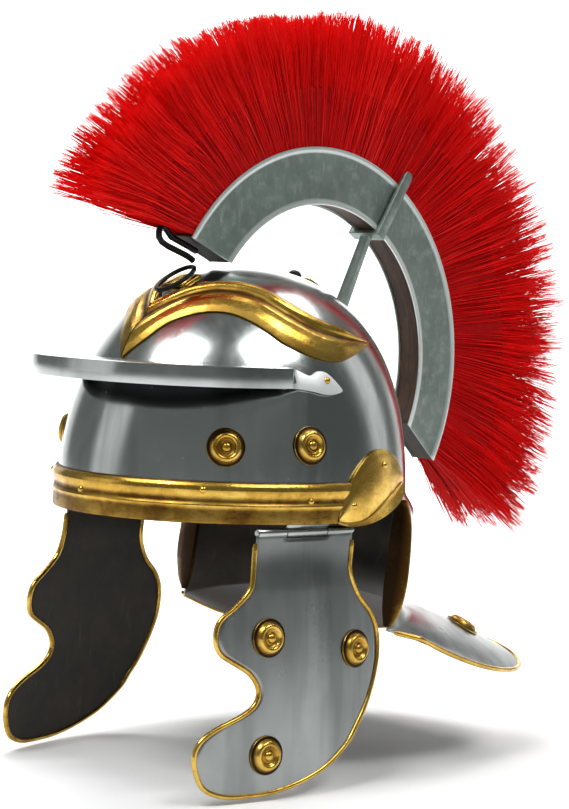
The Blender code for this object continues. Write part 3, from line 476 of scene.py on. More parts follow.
def make_steel_inside():
    m = Finish("steel_inside")
    cloud = m.noise(35.0, 5.0, 0.65)
    fine = m.noise(420.0, 3.0, 0.6)
    scuff = m.noise(120.0, 4.0, 0.7, m.stretch(1.0, 1.0, 0.25)).above(0.60, 0.75)
    colour = m.blend(cloud.above(0.35, 0.7), colours().steel_inside, (0.045, 0.034, 0.024))
    colour = m.blend(scuff * 0.5, colour, (0.10, 0.085, 0.07))
    return m.feed(base_color=colour, metallic=0.25, roughness=0.46 + 0.25 * cloud,
                  normal=m.bump(fine + cloud, 0.25, 0.0004))


def make_brass():
    m = Finish("brass")
    # The recess attribute darkens the brass: tarnish in its grooves, and painted shade on the nape strips and, near
    # black, in the deepest grooves
    groove = m.attribute("recess")
    cloud = m.noise(48.0, 5.0, 0.65)
    smear = m.noise(150.0, 4.0, 0.6, m.stretch(1.0, 1.0, 2.5))
    fine = m.noise(900.0, 2.0, 0.6)
    stain = (groove * 0.92 + cloud.above(0.46, 0.74) * 0.42
             + smear.above(0.52, 0.78) * 0.28).clamped()
    clean = m.blend(cloud.above(0.32, 0.52), (0.80, 0.53, 0.12), colours().brass)
    colour = m.blend(stain, clean, colours().tarnish)
    colour = m.blend(groove.above(0.90, 1.0) * 0.85, colour, (0.016, 0.010, 0.006))
    rough = 0.18 + 0.26 * stain + 0.08 * smear
    wave = m.bump(m.noise(70.0, 3.0, 0.5), 0.30, 0.0012)
    return m.feed(base_color=colour, metallic=1.0, roughness=rough,
                  normal=m.bump(fine + smear, 0.08, 0.0003, wave))


def make_crest_sheet():
    m = Finish("crest_sheet")
    cloud = m.noise(26.0, 5.0, 0.65)
    patches = m.noise(110.0, 3.0, 0.6)
    scratch = m.noise(70.0, 5.0, 0.75, m.stretch(1.0, 6.0, 0.8)).above(0.58, 0.72)
    worn = m.attribute("worn")
    colour = m.blend(cloud.above(0.3, 0.75), colours().sheet, dimmed(colours().sheet, 0.60))
    colour = m.blend(patches.above(0.5, 0.7) * 0.35, colour, (0.46, 0.54, 0.50))
    colour = m.blend((worn * 0.85 + scratch * 0.25).clamped(), colour, (0.80, 0.86, 0.84))
    rough = 0.36 - 0.10 * worn + 0.16 * cloud
    return m.feed(base_color=colour, metallic=0.85, roughness=rough,
                  normal=m.bump(patches + scratch, 0.10, 0.0004))


def make_dark_wood():
    m = Finish("dark_wood")
    grain = m.noise(60.0, 6.0, 0.7, m.stretch(9.0, 1.0, 1.0), 0.6)
    pores = m.noise(700.0, 2.0, 0.6, m.stretch(2.0, 0.4, 0.4))
    colour = m.blend(grain.above(0.35, 0.7), colours().wood, (0.090, 0.038, 0.016))
    return m.feed(base_color=colour, roughness=0.55 + 0.25 * pores,
                  normal=m.bump(grain + pores, 0.25, 0.0004))


def make_black_iron():
    m = Finish("black_iron")
    cloud = m.noise(240.0, 4.0, 0.6)
    wear = m.noise(500.0, 2.0, 0.5).above(0.68, 0.78)
    colour = m.blend(wear * 0.6, colours().iron, (0.16, 0.14, 0.12))
    return m.feed(base_color=colour, metallic=0.7, roughness=0.28 + 0.25 * cloud,
                  normal=m.bump(cloud, 0.15, 0.0003))


def make_horsehair():
    m = Finish("horsehair")
    along = m.attribute("along")
    tone = m.attribute("tone")
    patch = m.noise(34.0, 3.0, 0.6)
    # Painted shade: strands darken towards their roots, deep in the plume; tone and patches vary them at random
    light = (along.above(0.0, 0.60) * 0.80 + tone * 0.45 - 0.06
             + (patch - 0.5) * 0.5).clamped()
    colour = m.blend(light, colours().hair_root, colours().hair_tip)
    # Painted highlight: about a tenth of the strands are lightened to a pinkish red
    colour = m.blend(tone.above(0.90, 1.0) * 0.5, colour, (0.95, 0.06, 0.05))
    return m.feed(base_color=colour, roughness=0.50, specular_ior_level=0.10)


def make_hair_core():
    m = Finish("hair_core")
    streak = m.noise(300.0, 4.0, 0.7)
    # Painted shade: the core is coloured as the dark hair deep inside the plume
    colour = m.blend(streak, colours().hair_root, (0.10, 0.001, 0.001))
    return m.feed(base_color=colour, roughness=0.85, specular_ior_level=0.1)


def make_floor():
    m = Finish("pale_floor")
    shade = m.noise(3.0, 2.0, 0.5)
    colour = m.blend(shade, colours().floor, dimmed(colours().floor, 0.985))
    return m.feed(base_color=colour, roughness=0.75, specular_ior_level=0.2)


# Mesh building

def new_object(name, data):
    item = bpy.data.objects.new(name, data)
    bpy.context.scene.collection.objects.link(item)
    return item


def write_layer(mesh, name, values):
    """Store a number or a vector on every point of a mesh."""
    values = np.array(values, np.float32)
    kind, key = ("FLOAT", "value") if values.ndim == 1 else ("FLOAT_VECTOR", "vector")
    mesh.attributes.new(name, kind, "POINT").data.foreach_set(key, values.ravel())


def smooth_shade(mesh, sharp):
    """Shade a mesh smooth, but for edges sharper than an angle in degrees."""
    mesh.shade_smooth()
    mesh.set_sharp_from_angle(angle=math.radians(sharp))


@contextmanager
def editing(mesh):
    """A mesh opened for bmesh's operators and written back after them."""
    bm = bmesh.new()
    bm.from_mesh(mesh)
    yield bm
    bm.to_mesh(mesh)
    bm.free()


def add_mesh(name, verts, faces, material, recess=None, attribute="recess", sharp=35):
    mesh = bpy.data.meshes.new(name)
    mesh.from_pydata([tuple(v) for v in verts], [], faces)
    mesh.validate()
    if recess is not None:
        write_layer(mesh, attribute, recess)
    smooth_shade(mesh, sharp)
    item = new_object(name, mesh)
    for one in (material if isinstance(material, tuple) else (material,)):
        mesh.materials.append(finish(one))
    return item


def grid_faces(rows, columns, start=0, wrap=False):
    faces = []
    for i in range(rows - 1):
        for j in range(columns if wrap else columns - 1):
            n = (j + 1) % columns
            a, b = start + i * columns, start + (i + 1) * columns
            faces.append((a + j, a + n, b + n, b + j))
    return faces


def tidy_normals(item):
    """Merge a closed mesh's doubles and point its faces outward."""
    with editing(item.data) as bm:
        bmesh.ops.remove_doubles(bm, verts=bm.verts, dist=0.000002)
        bmesh.ops.recalc_face_normals(bm, faces=bm.faces)
    return item


def plate(name, under, over, material, recess=None, sharp=35):
    """Close two grids of points, one over the other, into a solid plate."""
    rows, columns = len(under), len(under[0])
    size = rows * columns
    verts = [p for row in under for p in row] + [p for row in over for p in row]
    faces = [f[::-1] for f in grid_faces(rows, columns)] + grid_faces(rows, columns, size)
    rim = [(0, j) for j in range(columns)]
    rim += [(i, columns - 1) for i in range(1, rows)]
    rim += [(rows - 1, j) for j in range(columns - 2, -1, -1)]
    rim += [(i, 0) for i in range(rows - 2, 0, -1)]
    ids = [i * columns + j for i, j in rim]
    for a, b in zip(ids, ids[1:] + ids[:1]):
        faces.append((a, b, b + size, a + size))
    layer = 2 * [r for row in recess for r in row] if recess else None
    return tidy_normals(add_mesh(name, verts, faces, material, layer, sharp=sharp))


def loft(name, rings, material, recess=None, attribute="recess", sharp=35):
    """Join closed rings of points into a solid with flat ends."""
    count = len(rings[0])
    verts = [p for ring in rings for p in ring]
    faces = grid_faces(len(rings), count, 0, True)
    faces.append(tuple(range(count)))
    faces.append(tuple(range((len(rings) - 1) * count, len(rings) * count)))
    layer = list(recess) * len(rings) if recess else None
    return tidy_normals(add_mesh(name, verts, faces, material, layer, attribute, sharp))


def tube(name, route, radius, material, sides=10):
    """A round wire along an open route of points, eased at its ends."""
    count = len(route)
    rings = []
    side = None
    for k, point in enumerate(route):
        along = (route[min(k + 1, count - 1)] - route[max(k - 1, 0)]).normalized()
        if side is None:
            side = along.orthogonal().normalized()
        side = (side - along * side.dot(along)).normalized()
        other = along.cross(side)
        size = radius * (0.72 if k in (0, count - 1) else 1.0)
        rings.append([point + side * size * math.cos(2 * math.pi * s / sides)
                      + other * size * math.sin(2 * math.pi * s / sides)
                      for s in range(sides)])
    return loft(name, rings, material, sharp=60)


def resample(points, spacing):
    """Evenly spaced points along an open route."""
    lengths = [0.0]
    for a, b in zip(points, points[1:]):
        lengths.append(lengths[-1] + (b - a).length)
    count = max(int(round(lengths[-1] / spacing)), 2)
    result, k = [], 0
    for step in range(count + 1):
        goal = lengths[-1] * step / count
        while k < len(points) - 2 and lengths[k + 1] < goal:
            k += 1
        span = lengths[k + 1] - lengths[k]
        result.append(points[k].lerp(points[k + 1], (goal - lengths[k]) / span))
    return result


def soften(points, rounds=2):
    """Ease the corners of an open route and keep its ends."""
    for _ in range(rounds):
        points = ([points[0]] + [(a + 2 * b + c) / 4 for a, b, c
                                 in zip(points, points[1:], points[2:])] + [points[-1]])
    return points


def revolve(name, profile, steps, material, recess):
    """Turn (radius, height) pairs, top to bottom, about Z."""
    verts, layer, faces, rows = [], [], [], []
    for (radius, height), deep in zip(profile, recess):
        count = steps if radius else 1
        rows.append(range(len(verts), len(verts) + count))
        layer += [deep] * count
        for s in range(count):
            turn = 2 * math.pi * s / steps
            verts.append((radius * math.cos(turn), radius * math.sin(turn), height))
    for high, low in zip(rows, rows[1:]):
        for s in range(steps):
            n = (s + 1) % steps
            if len(high) == 1:
                faces.append((high[0], low[s], low[n]))
            elif len(low) == 1:
                faces.append((high[s], low[0], high[n]))
            else:
                faces.append((high[s], low[s], low[n], high[n]))
    return add_mesh(name, verts, faces, material, layer, sharp=50)


def baked(item):
    """Turn an object's modifiers into a plain mesh."""
    bpy.context.view_layer.update()
    graph = bpy.context.evaluated_depsgraph_get()
    mesh = bpy.data.meshes.new_from_object(item.evaluated_get(graph),
                                           preserve_all_data_layers=True, depsgraph=graph)
    old = item.data
    item.modifiers.clear()
    item.data = mesh
    if old.users == 0:
        bpy.data.meshes.remove(old)
    return item


def with_sheet(item, thickness):
    """Give a sheet its thickness inwards, with the second material inside."""
    wall = item.modifiers.new("sheet", "SOLIDIFY")
    wall.thickness = thickness
    wall.offset = -1
    wall.use_even_offset = True
    wall.material_offset = 1
    wall.material_offset_rim = 0
    return baked(item)


def with_bevel(item, width, angle=30):
    """Round the edges that are sharper than an angle in degrees."""
    edge = item.modifiers.new("edge", "BEVEL")
    edge.width = width
    edge.segments = 2
    edge.limit_method = "ANGLE"
    edge.angle_limit = math.radians(angle)
    item = baked(item)
    smooth_shade(item.data, 40)
    return item


def from_node(node, name, material, bevel):
    """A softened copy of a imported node."""
    mesh = frame["nodes"][node].data.copy()
    mesh.name = name
    mesh.materials.clear()
    with editing(mesh) as bm:
        bmesh.ops.remove_doubles(bm, verts=bm.verts, dist=0.000005)
        bmesh.ops.dissolve_limit(bm, angle_limit=math.radians(1.0), verts=bm.verts,
                                 edges=bm.edges)
    mesh.materials.append(finish(material))
    return with_bevel(new_object(name, mesh), bevel)


def settle(item, body, slot, *nodes):
    """Ride on a body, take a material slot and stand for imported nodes."""
    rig.ride(item, body)
    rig.slot(item, slot)
    if nodes:
        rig.replaces(item, *nodes)
    return item


# Places on the bowl, or off it by a distance

def bowl_share(z, off=0.0):
    """Width of the bowl at a height, as a share of the rim's."""
    s = sizes()
    rise = min(max(z, 0.0) / (s.bowl_height + off), 1.0)
    return max(1.0 - rise ** s.bowl_fullness, 0.0) ** (1 / s.bowl_fullness)


def bowl_at(angle, z, off=0.0):
    """Place at an angle from the front, towards the wearer's left."""
    s = sizes()
    share = bowl_share(z, off)
    return Vector(((s.bowl_half_width + off) * share * math.sin(angle),
                   -(s.bowl_half_length + off) * share * math.cos(angle), z))


def bowl_over(x, y):
    """Place above a point of the rim's plane."""
    s = sizes()
    share = math.hypot(x / s.bowl_half_width, y / s.bowl_half_length)
    rise = max(1.0 - share ** s.bowl_fullness, 0.0) ** (1 / s.bowl_fullness)
    return Vector((x, y, s.bowl_height * rise))


def bowl_normal(point):
    s = sizes()
    x, y, z = point
    share = math.hypot(x / s.bowl_half_width, y / s.bowl_half_length)
    flat = share ** (s.bowl_fullness - 2) if share > 0 else 0.0
    rise = (max(z, 0.0) / s.bowl_height) ** (s.bowl_fullness - 1) / s.bowl_height
    return Vector((flat * x / s.bowl_half_width ** 2, flat * y / s.bowl_half_length ** 2,
                   rise)).normalized()


def bowl_beside(side, y, z, off=0.0):
    """Place beside a point of the middle plane, on one side."""
    s = sizes()
    share = bowl_share(z, off)
    along = min(abs(y) / ((s.bowl_half_length + off) * share), 1.0)
    x = (s.bowl_half_width + off) * share * math.sqrt(1.0 - along ** 2)
    return Vector((side * x, y, z))


# Bowl, nape and neck guard

EAR_HOLE_RISE = 0.014
EAR_HOLE_START = math.radians(96)
EAR_HOLE_END = math.radians(108)
NAPE_HALF_WIDTH = 0.0924
NAPE_BACK = 0.107
NAPE_FRONT = 0.047
GUARD_HALF_WIDTH = 0.108
GUARD_REAR = 0.223
GUARD_SIDE_START = 0.062
GUARD_FALL = 0.0400
GUARD_LIP = 0.004
GUARD_ARCH = 0.021
GUARD_SWELL = 0.005
GUARD_SQUARENESS = 3.2
GUARD_SOFTNESS = 0.40
REAR_TRIM = 0.045
REAR_TRIM_TOP = 0.8
REAR_TRIM_START = math.radians(117)
REAR_TRIM_END = math.radians(143)
BOWL_STEPS = 200
BOWL_ROWS = 44
NAPE_FIRST_STEP = 65
NAPE_PARTS = 6
GUARD_ROWS = 20
# Recess on the nape, rising towards the neck guard's edge: it roughens the steel to satin and darkens its colour as
# painted shade
NAPE_SATIN = (0.10, 0.42)


def rim_level(angle):
    turn = abs(math.remainder(angle, 2 * math.pi))
    return EAR_HOLE_RISE * ease((turn - EAR_HOLE_START) / (EAR_HOLE_END - EAR_HOLE_START))


def rear_share(angle, z):
    """The back of the bowl is drawn in a little, most of all low down."""
    turn = abs(math.remainder(angle, 2 * math.pi))
    back = ease((turn - REAR_TRIM_START) / (REAR_TRIM_END - REAR_TRIM_START))
    share = 1 - REAR_TRIM * back * (1 - ease(z / (REAR_TRIM_TOP * sizes().bowl_height)))
    return Vector((share, share, 1.0))


def nape_row(section, columns):
    """One level of the nape, from the wearer's left round to the right."""
    depth_mid, depth_side, width, front, back = section
    drop = sizes().nape_drop
    row = []
    for k in range(columns):
        turn = math.pi * k / (columns - 1)
        bulge = math.sin(turn)
        row.append(Vector((NAPE_HALF_WIDTH * width * math.cos(turn),
                           mix(NAPE_FRONT * front, NAPE_BACK * back, bulge),
                           -drop * mix(depth_side, depth_mid, bulge))))
    return row


def guard_edge(columns):
    """Outer edge of the neck guard, from the wearer's left round to the right."""
    drop = sizes().nape_drop
    power = 2 / GUARD_SQUARENESS
    row = []
    for k in range(columns):
        turn = math.pi * k / (columns - 1)
        x = GUARD_HALF_WIDTH * math.copysign(abs(math.cos(turn)) ** power, math.cos(turn))
        back = max(math.sin(turn), 0.0) ** power if 0 < k < columns - 1 else 0.0
        y = mix(GUARD_SIDE_START, GUARD_REAR, back)
        fall = 1 - (1 - back) ** 2
        ridge = (math.hypot(1, GUARD_SOFTNESS)
                 - math.hypot(x / GUARD_HALF_WIDTH, GUARD_SOFTNESS))
        z = -drop - GUARD_LIP - (GUARD_FALL - GUARD_LIP) * fall + GUARD_ARCH * ridge * back
        row.append(Vector((x, y, z)))
    return row


def bowl_rows():
    """Rings of the bowl from the rim up, and strips of the nape and guard going down."""
    rings = []
    fullness = sizes().bowl_fullness
    for row in range(BOWL_ROWS):
        climb = math.sin(math.pi / 2 * row / BOWL_ROWS) ** (2 / fullness)
        ring = []
        for k in range(BOWL_STEPS):
            a = 2 * math.pi * k / BOWL_STEPS
            z = mix(rim_level(a), sizes().bowl_height, climb)
            ring.append(bowl_at(a, z) * rear_share(a, z))
        rings.append(ring)
    columns = BOWL_STEPS - 2 * NAPE_FIRST_STEP + 1
    back = slice(NAPE_FIRST_STEP, NAPE_FIRST_STEP + columns)
    control = [rings[1][back], rings[0][back]]
    control += [nape_row(section, columns) for section in NAPE_SECTIONS]
    strips = smooth_rows(control, NAPE_PARTS)[NAPE_PARTS + 1:]
    root, edge = strips[-1], guard_edge(columns)
    for row in range(1, GUARD_ROWS + 1):
        t = row / GUARD_ROWS
        swell = GUARD_SWELL * math.sin(math.pi * t ** 0.75)
        strips.append([root[k].lerp(edge[k], t)
                       + Vector((0, 0, swell * math.sin(math.pi * k / (columns - 1))))
                       for k in range(columns)])
    return rings, strips


def nape_side():
    """Front edge of the nape on the wearer's left, top to bottom."""
    _, strips = bowl_rows()
    return [row[0] for row in strips[:len(strips) - GUARD_ROWS]]


class HELMET_OT_bowl(bpy.types.Operator):
    """Make the bowl with its nape and neck guard, one polished sheet"""

    bl_idname = "helmet.bowl"
    bl_label = "Bowl and Neck Guard"

    def execute(self, context):
        rings, strips = bowl_rows()
        verts = [p for ring in rings for p in ring]
        faces = grid_faces(BOWL_ROWS, BOWL_STEPS, 0, True)
        top = len(verts)
        verts.append(Vector((0, 0, sizes().bowl_height)))
        last = (BOWL_ROWS - 1) * BOWL_STEPS
        faces += [(last + k, last + (k + 1) % BOWL_STEPS, top) for k in range(BOWL_STEPS)]
        columns = len(strips[0])
        above = list(range(NAPE_FIRST_STEP, NAPE_FIRST_STEP + columns))
        # The recess darkens the nape and neck guard as painted shade and makes them satin
        satin = [0.0] * len(verts)
        for number, strip in enumerate(strips):
            below = list(range(len(verts), len(verts) + columns))
            verts += strip
            satin += [mix(*NAPE_SATIN, ease(number / (len(strips) - 1)))] * columns
            faces += [(below[k], below[k + 1], above[k + 1], above[k])
                      for k in range(columns - 1)]
            above = below
        item = add_mesh("bowl_sheet", verts, faces, ("polished_steel", "steel_inside"), satin)
        item = with_sheet(item, sizes().sheet)
        smooth_shade(item.data, 50)
        settle(item, "helmet", "polished_steel", "bowl")
        return {"FINISHED"}


# Brow guard

BROW_GUARD_SHEET = 0.0015
BROW_GUARD_HALF_WIDTH = 0.090
BROW_GUARD_BACK = 0.042
BROW_GUARD_SQUARENESS = 2.4
BROW_GUARD_SWEEP = math.radians(88)
BROW_GUARD_RINGS = 57
TAB_START = 0.036
TAB_END = 0.004


def guard_strip(x, y, top, bottom):
    """Section of the standing strip and of the plate from it to the bowl."""
    s = sizes()
    angle = math.atan2(x / s.bowl_half_width, -y / s.bowl_half_length)
    outer = Vector((x, y, 0))
    inward = bowl_at(angle, bottom) - Vector((x, y, bottom))
    inward.z = 0
    inward.normalize()
    inner = outer + inward * BROW_GUARD_SHEET
    under = top - BROW_GUARD_SHEET
    rest = bowl_at(angle, under, s.clearance)
    up = Vector((0, 0, 1))
    return [outer + up * bottom, outer + up * top, Vector((rest.x, rest.y, top)),
            rest, inner + up * under, inner + up * bottom]


class HELMET_OT_brow_guard(bpy.types.Operator):
    """Make the steel brow guard, a standing strip with a plate behind it"""

    bl_idname = "helmet.brow_guard"
    bl_label = "Brow Guard"

    def execute(self, context):
        s = sizes()
        bottom = s.guard_top - s.guard_height
        back, power = BROW_GUARD_BACK, 2 / BROW_GUARD_SQUARENESS
        half = []
        for k in range(BROW_GUARD_RINGS):
            turn = BROW_GUARD_SWEEP * k / (BROW_GUARD_RINGS - 1)
            x = BROW_GUARD_HALF_WIDTH * math.sin(turn) ** power if k else 0.0
            y = -back - (s.guard_reach - back) * math.cos(turn) ** power
            half.append(guard_strip(x, y, s.guard_top, bottom))
        near, far = s.clearance, s.clearance + BROW_GUARD_SHEET
        for along, high, low in smooth_rows(TAB_SECTIONS, 7):
            y = -mix(TAB_START, TAB_END, along)
            top = bottom + s.guard_height * high
            foot = bottom + s.guard_height * low
            half.append([bowl_beside(1, y, z, off) for z, off in (
                (foot, far), (top, far), (top, near), (mix(foot, top, 0.96), near),
                (mix(foot, top, 0.92), near), (foot, near))])
        mirrored = [[Vector((-p.x, p.y, p.z)) for p in ring] for ring in half[:0:-1]]
        # The plate's underside and inner face take a recess that paints them dark as the shade under the guard
        item = loft("brow_guard_strip", mirrored + half, "polished_steel",
                    [0.0, 0.0, 0.0, 1.0, 1.0, 0.8])
        # The tab is lightened in colour as a painted highlight
        tab = len(half) - BROW_GUARD_RINGS
        worn = [1.0] * tab + [0.0] * (2 * BROW_GUARD_RINGS - 1) + [1.0] * tab
        write_layer(item.data, "worn", np.repeat(worn, len(half[0])))
        settle(with_bevel(item, 0.00045), "helmet", "polished_steel", "brow_guard")
        return {"FINISHED"}


# Brass trim of the bowl

EAR_GUARD_FRONT = -0.0136
EAR_GUARD_LENGTH = 0.069
EAR_GUARD_HEIGHT = 0.044
EAR_GUARD_SHEET = 0.0014
EAR_GUARD_LIP = 0.009
BAND_GAP = 0.0006
BAND_STEPS = 170
EYEBROW_SHEET = 0.0010
EYEBROW_RELIEF = 0.0030
EYEBROW_FADE_ROWS = 22


def ear_guard_front(z):
    """Front edge of the ear guard at a height, where the brow band ends."""
    share = min(max(z / EAR_GUARD_HEIGHT, 0.0), 1.0)
    return EAR_GUARD_FRONT + EAR_GUARD_LENGTH * 0.18 * share ** 1.4 / 0.5


def recess_of(relief, low, high):
    """1 in the grooves below low, 0 on the ridges over high."""
    return 1.0 - min(max((relief - low) / (high - low), 0.0), 1.0)


class HELMET_OT_brow_band(bpy.types.Operator):
    """Make the ribbed brass band round the brow"""

    bl_idname = "helmet.brow_band"
    bl_label = "Brow Band"

    def execute(self, context):
        s = sizes()
        under, over, recess = [], [], []
        for height in np.linspace(0, 1, 41):
            relief = between(BAND_PROFILE, height)
            z = s.band_height * height
            end_y = ear_guard_front(z) - BAND_GAP
            reach = s.bowl_half_length * bowl_share(z)
            end = math.acos(min(max(-end_y / reach, -1.0), 1.0))
            angles = [mix(-end, end, k / BAND_STEPS) for k in range(BAND_STEPS + 1)]
            under.append([bowl_at(a, z, s.clearance) for a in angles])
            over.append([bowl_at(a, z, s.clearance + s.band_proud * relief)
                         for a in angles])
            recess.append([recess_of(relief, 0.36, 0.66)] * len(angles))
        item = plate("brow_band_ribs", under, over, "brass", recess, 50)
        settle(item, "helmet", "brass", "brow_band")
        return {"FINISHED"}


class HELMET_OT_eyebrows(bpy.types.Operator):
    """Emboss the pair of brass eyebrows on the front of the bowl"""

    bl_idname = "helmet.eyebrows"
    bl_label = "Eyebrows"

    def execute(self, context):
        s = sizes()
        rows = smooth_rows(EYEBROW_ROWS, 9)
        across = np.linspace(0, 1, 37)
        for side, word in SIDES:
            under, over, recess = [], [], []
            for k, (low_x, low_y, high_x, high_y) in enumerate(rows):
                fade = min(1.0, (len(rows) - 1 - k) / EYEBROW_FADE_ROWS)
                lower, upper, deep = [], [], []
                for share in across:
                    relief = between(EYEBROW_PROFILE, share)
                    x = max(mix(low_x, high_x, share), 0.004) * s.bowl_half_width
                    y = mix(low_y, high_y, share) * s.bowl_half_length
                    seat = bowl_over(x, y)
                    normal = bowl_normal(seat)
                    rise = EYEBROW_SHEET + EYEBROW_RELIEF * relief * fade
                    for row, off in ((lower, s.clearance), (upper, s.clearance + rise)):
                        place = seat + normal * off
                        row.append(Vector((side * place.x, place.y, place.z)))
                    deep.append(recess_of(relief, 0.12, 0.5) * (1 if share > 0.3 else 0.5))
                under.append(lower)
                over.append(upper)
                recess.append(deep)
            item = plate("eyebrow_relief_" + word, under, over, "brass", recess, 60)
            settle(item, "helmet", "brass", "eyebrow_" + word)
        return {"FINISHED"}


class HELMET_OT_ear_guards(bpy.types.Operator):
    """Make the leaf-shaped brass ear guards with their flared lip"""

    bl_idname = "helmet.ear_guards"
    bl_label = "Ear Guards"

    def execute(self, context):
        s = sizes()
        across = [0.0, 0.04, 0.1, 0.2, 0.32, 0.45, 0.58, 0.7, 0.82, 0.9, 0.96, 1.0]
        for side, word in SIDES:
            under, over, recess = [], [], []
            out = Vector((side * 0.62, 0.02, -0.78)).normalized()
            normal = Vector((side * 0.78, 0.10, 0.62)).normalized()
            for along, low, high, lip in smooth_rows(EAR_ROWS, 9):
                y = EAR_GUARD_FRONT + EAR_GUARD_LENGTH * along
                lower, upper, deep = [], [], []
                foot = bowl_beside(side, y, EAR_GUARD_HEIGHT * low, s.clearance)
                for share in (1.0, 0.8, 0.6, 0.4, 0.2):
                    place = foot + out * EAR_GUARD_LIP * lip * share
                    lower.append(place)
                    upper.append(place + normal * EAR_GUARD_SHEET)
                    deep.append(0.55 * (1 - share))
                for share in across:
                    z = EAR_GUARD_HEIGHT * mix(low, high, share)
                    lower.append(bowl_beside(side, y, z, s.clearance))
                    dome = math.sin(math.pi * share)
                    edge = 0.25 if share in (0.9, 0.96, 1.0) else 0.0
                    swell = EAR_GUARD_SHEET * (0.8 + dome + edge)
                    upper.append(bowl_beside(side, y, z, s.clearance + swell))
                    deep.append(0.35 if share == 0.9 else 0.55 if share == 0.0 else 0.0)
                under.append(lower)
                over.append(upper)
                recess.append(deep)
            item = plate("ear_guard_leaf_" + word, under, over, "brass", recess, 50)
            settle(item, "helmet", "brass", "ear_guard_" + word)
        return {"FINISHED"}


# Cheek guards and hinges

HINGE_FRONT = -0.067
HINGE_REAR = 0.006
HINGE_LENGTH = 0.073
HINGE_LEVEL = -0.005
HINGE_FRONT_X = 0.0855
HINGE_REAR_X = 0.0945
KNUCKLE_SHARES = (0.29, 0.72)
FIRST_KNUCKLE, SECOND_KNUCKLE = (HINGE_FRONT + share * HINGE_LENGTH
                                 for share in KNUCKLE_SHARES)
KNUCKLE_RADIUS = 0.00275
KNUCKLE_GAP = 0.0002
KNUCKLE_EASE = ((0.0, 0.80), (0.0003, 0.93), (0.0008, 1.0))
PIN_RADIUS = 0.0017
PIN_HEADS = (("front", -0.0682, -0.0668), ("rear", 0.0058, 0.0072))
LEAF_GAP = 0.0009
LEAF_RISE = 0.013
LEAF_FOOT = -0.0035
CHEEK_UNIT = 0.1
CHEEK_TOP = -0.0105
# Height, front and rear edge of the two rows by the hinge
CHEEK_HINGE_ROWS = ((-0.0048, -0.0675, 0.0062), (-0.0086, -0.0677, 0.0062))
CHEEK_COLUMNS = 31
# Recess of the cheek plates: satin roughness, and a darkened colour that paints shade over their reflections
CHEEK_SATIN = 0.36
# Half the width over the plates: a base, then its change along, along squared, with the
# depth and with the depth squared
CHEEK_SURFACE = (0.0911, 0.0026, -0.0121, 0.0144, -0.0034)
CHEEK_OFF_HINGE = 0.0006
CHEEK_BLEND_TOP = 0.010
CHEEK_BLEND = 0.030


def hinge_point(side, y, z=HINGE_LEVEL):
    t = (y - HINGE_FRONT) / HINGE_LENGTH
    return Vector((side * mix(HINGE_FRONT_X, HINGE_REAR_X, t), y, z))


def cheek_place(side, y, z):
    """Place on the outer face of a cheek plate."""
    depth, along = -z / CHEEK_UNIT, y / CHEEK_UNIT
    base, a, b, c, d = CHEEK_SURFACE
    x = base + a * along + b * along ** 2 + c * depth + d * depth ** 2
    top = abs(hinge_point(1, y).x) + CHEEK_OFF_HINGE
    return Vector((side * mix(top, x, ease((-z - CHEEK_BLEND_TOP) / CHEEK_BLEND)), y, z))


def cheek_normal(side, y, z):
    step = 0.002
    down = cheek_place(side, y, z - step) - cheek_place(side, y, z + step)
    along = cheek_place(side, y + step, z) - cheek_place(side, y - step, z)
    normal = along.cross(down)
    return (normal if normal.x * side > 0 else -normal).normalized()


def cheek_edges():
    """Height, front and rear edge of a cheek plate, level by level below the hinge."""
    drop = sizes().cheek_drop
    rows = [(-drop * depth, CHEEK_UNIT * front, CHEEK_UNIT * rear)
            for depth, front, rear in smooth_rows(CHEEK_ROWS, 6)]
    return [row for row in rows if row[0] < CHEEK_TOP]


class HELMET_OT_cheek_guards(bpy.types.Operator):
    """Make the cheek plates with the outer knuckles of their hinges"""

    bl_idname = "helmet.cheek_guards"
    bl_label = "Cheek Guards"

    def execute(self, context):
        steps = CHEEK_COLUMNS - 1
        first, second = (round(share * steps) for share in KNUCKLE_SHARES)
        for side, word in SIDES:
            rows = [*CHEEK_HINGE_ROWS, *cheek_edges()]
            verts = [cheek_place(side, mix(front, rear, k / steps), z)
                     for z, front, rear in rows for k in range(CHEEK_COLUMNS)]
            faces = grid_faces(len(rows), CHEEK_COLUMNS)
            # The top row is open where the bowl's knuckle sits
            faces = [f for k, f in enumerate(faces) if not first <= k < second]
            if side > 0:
                faces = [f[::-1] for f in faces]
            # The constant recess darkens the plates' colour as painted shade and roughens them to satin
            item = add_mesh("cheek_plate_" + word, verts, faces,
                            ("polished_steel", "steel_inside"), [CHEEK_SATIN] * len(verts))
            with editing(item.data) as bm:
                bmesh.ops.delete(bm, geom=[v for v in bm.verts if not v.link_faces],
                                 context="VERTS")
            item = with_sheet(item, sizes().sheet)
            settle(item, "cheek_guard_" + word, "polished_steel", "cheek_" + word)
            for part, start, end in (("front", HINGE_FRONT, FIRST_KNUCKLE - KNUCKLE_GAP),
                                     ("rear", SECOND_KNUCKLE + KNUCKLE_GAP, HINGE_REAR)):
                knuckle = barrel("cheek_knuckle_%s_%s" % (part, word), side, start, end,
                                 KNUCKLE_RADIUS)
                settle(knuckle, "cheek_guard_" + word, "polished_steel")
        return {"FINISHED"}


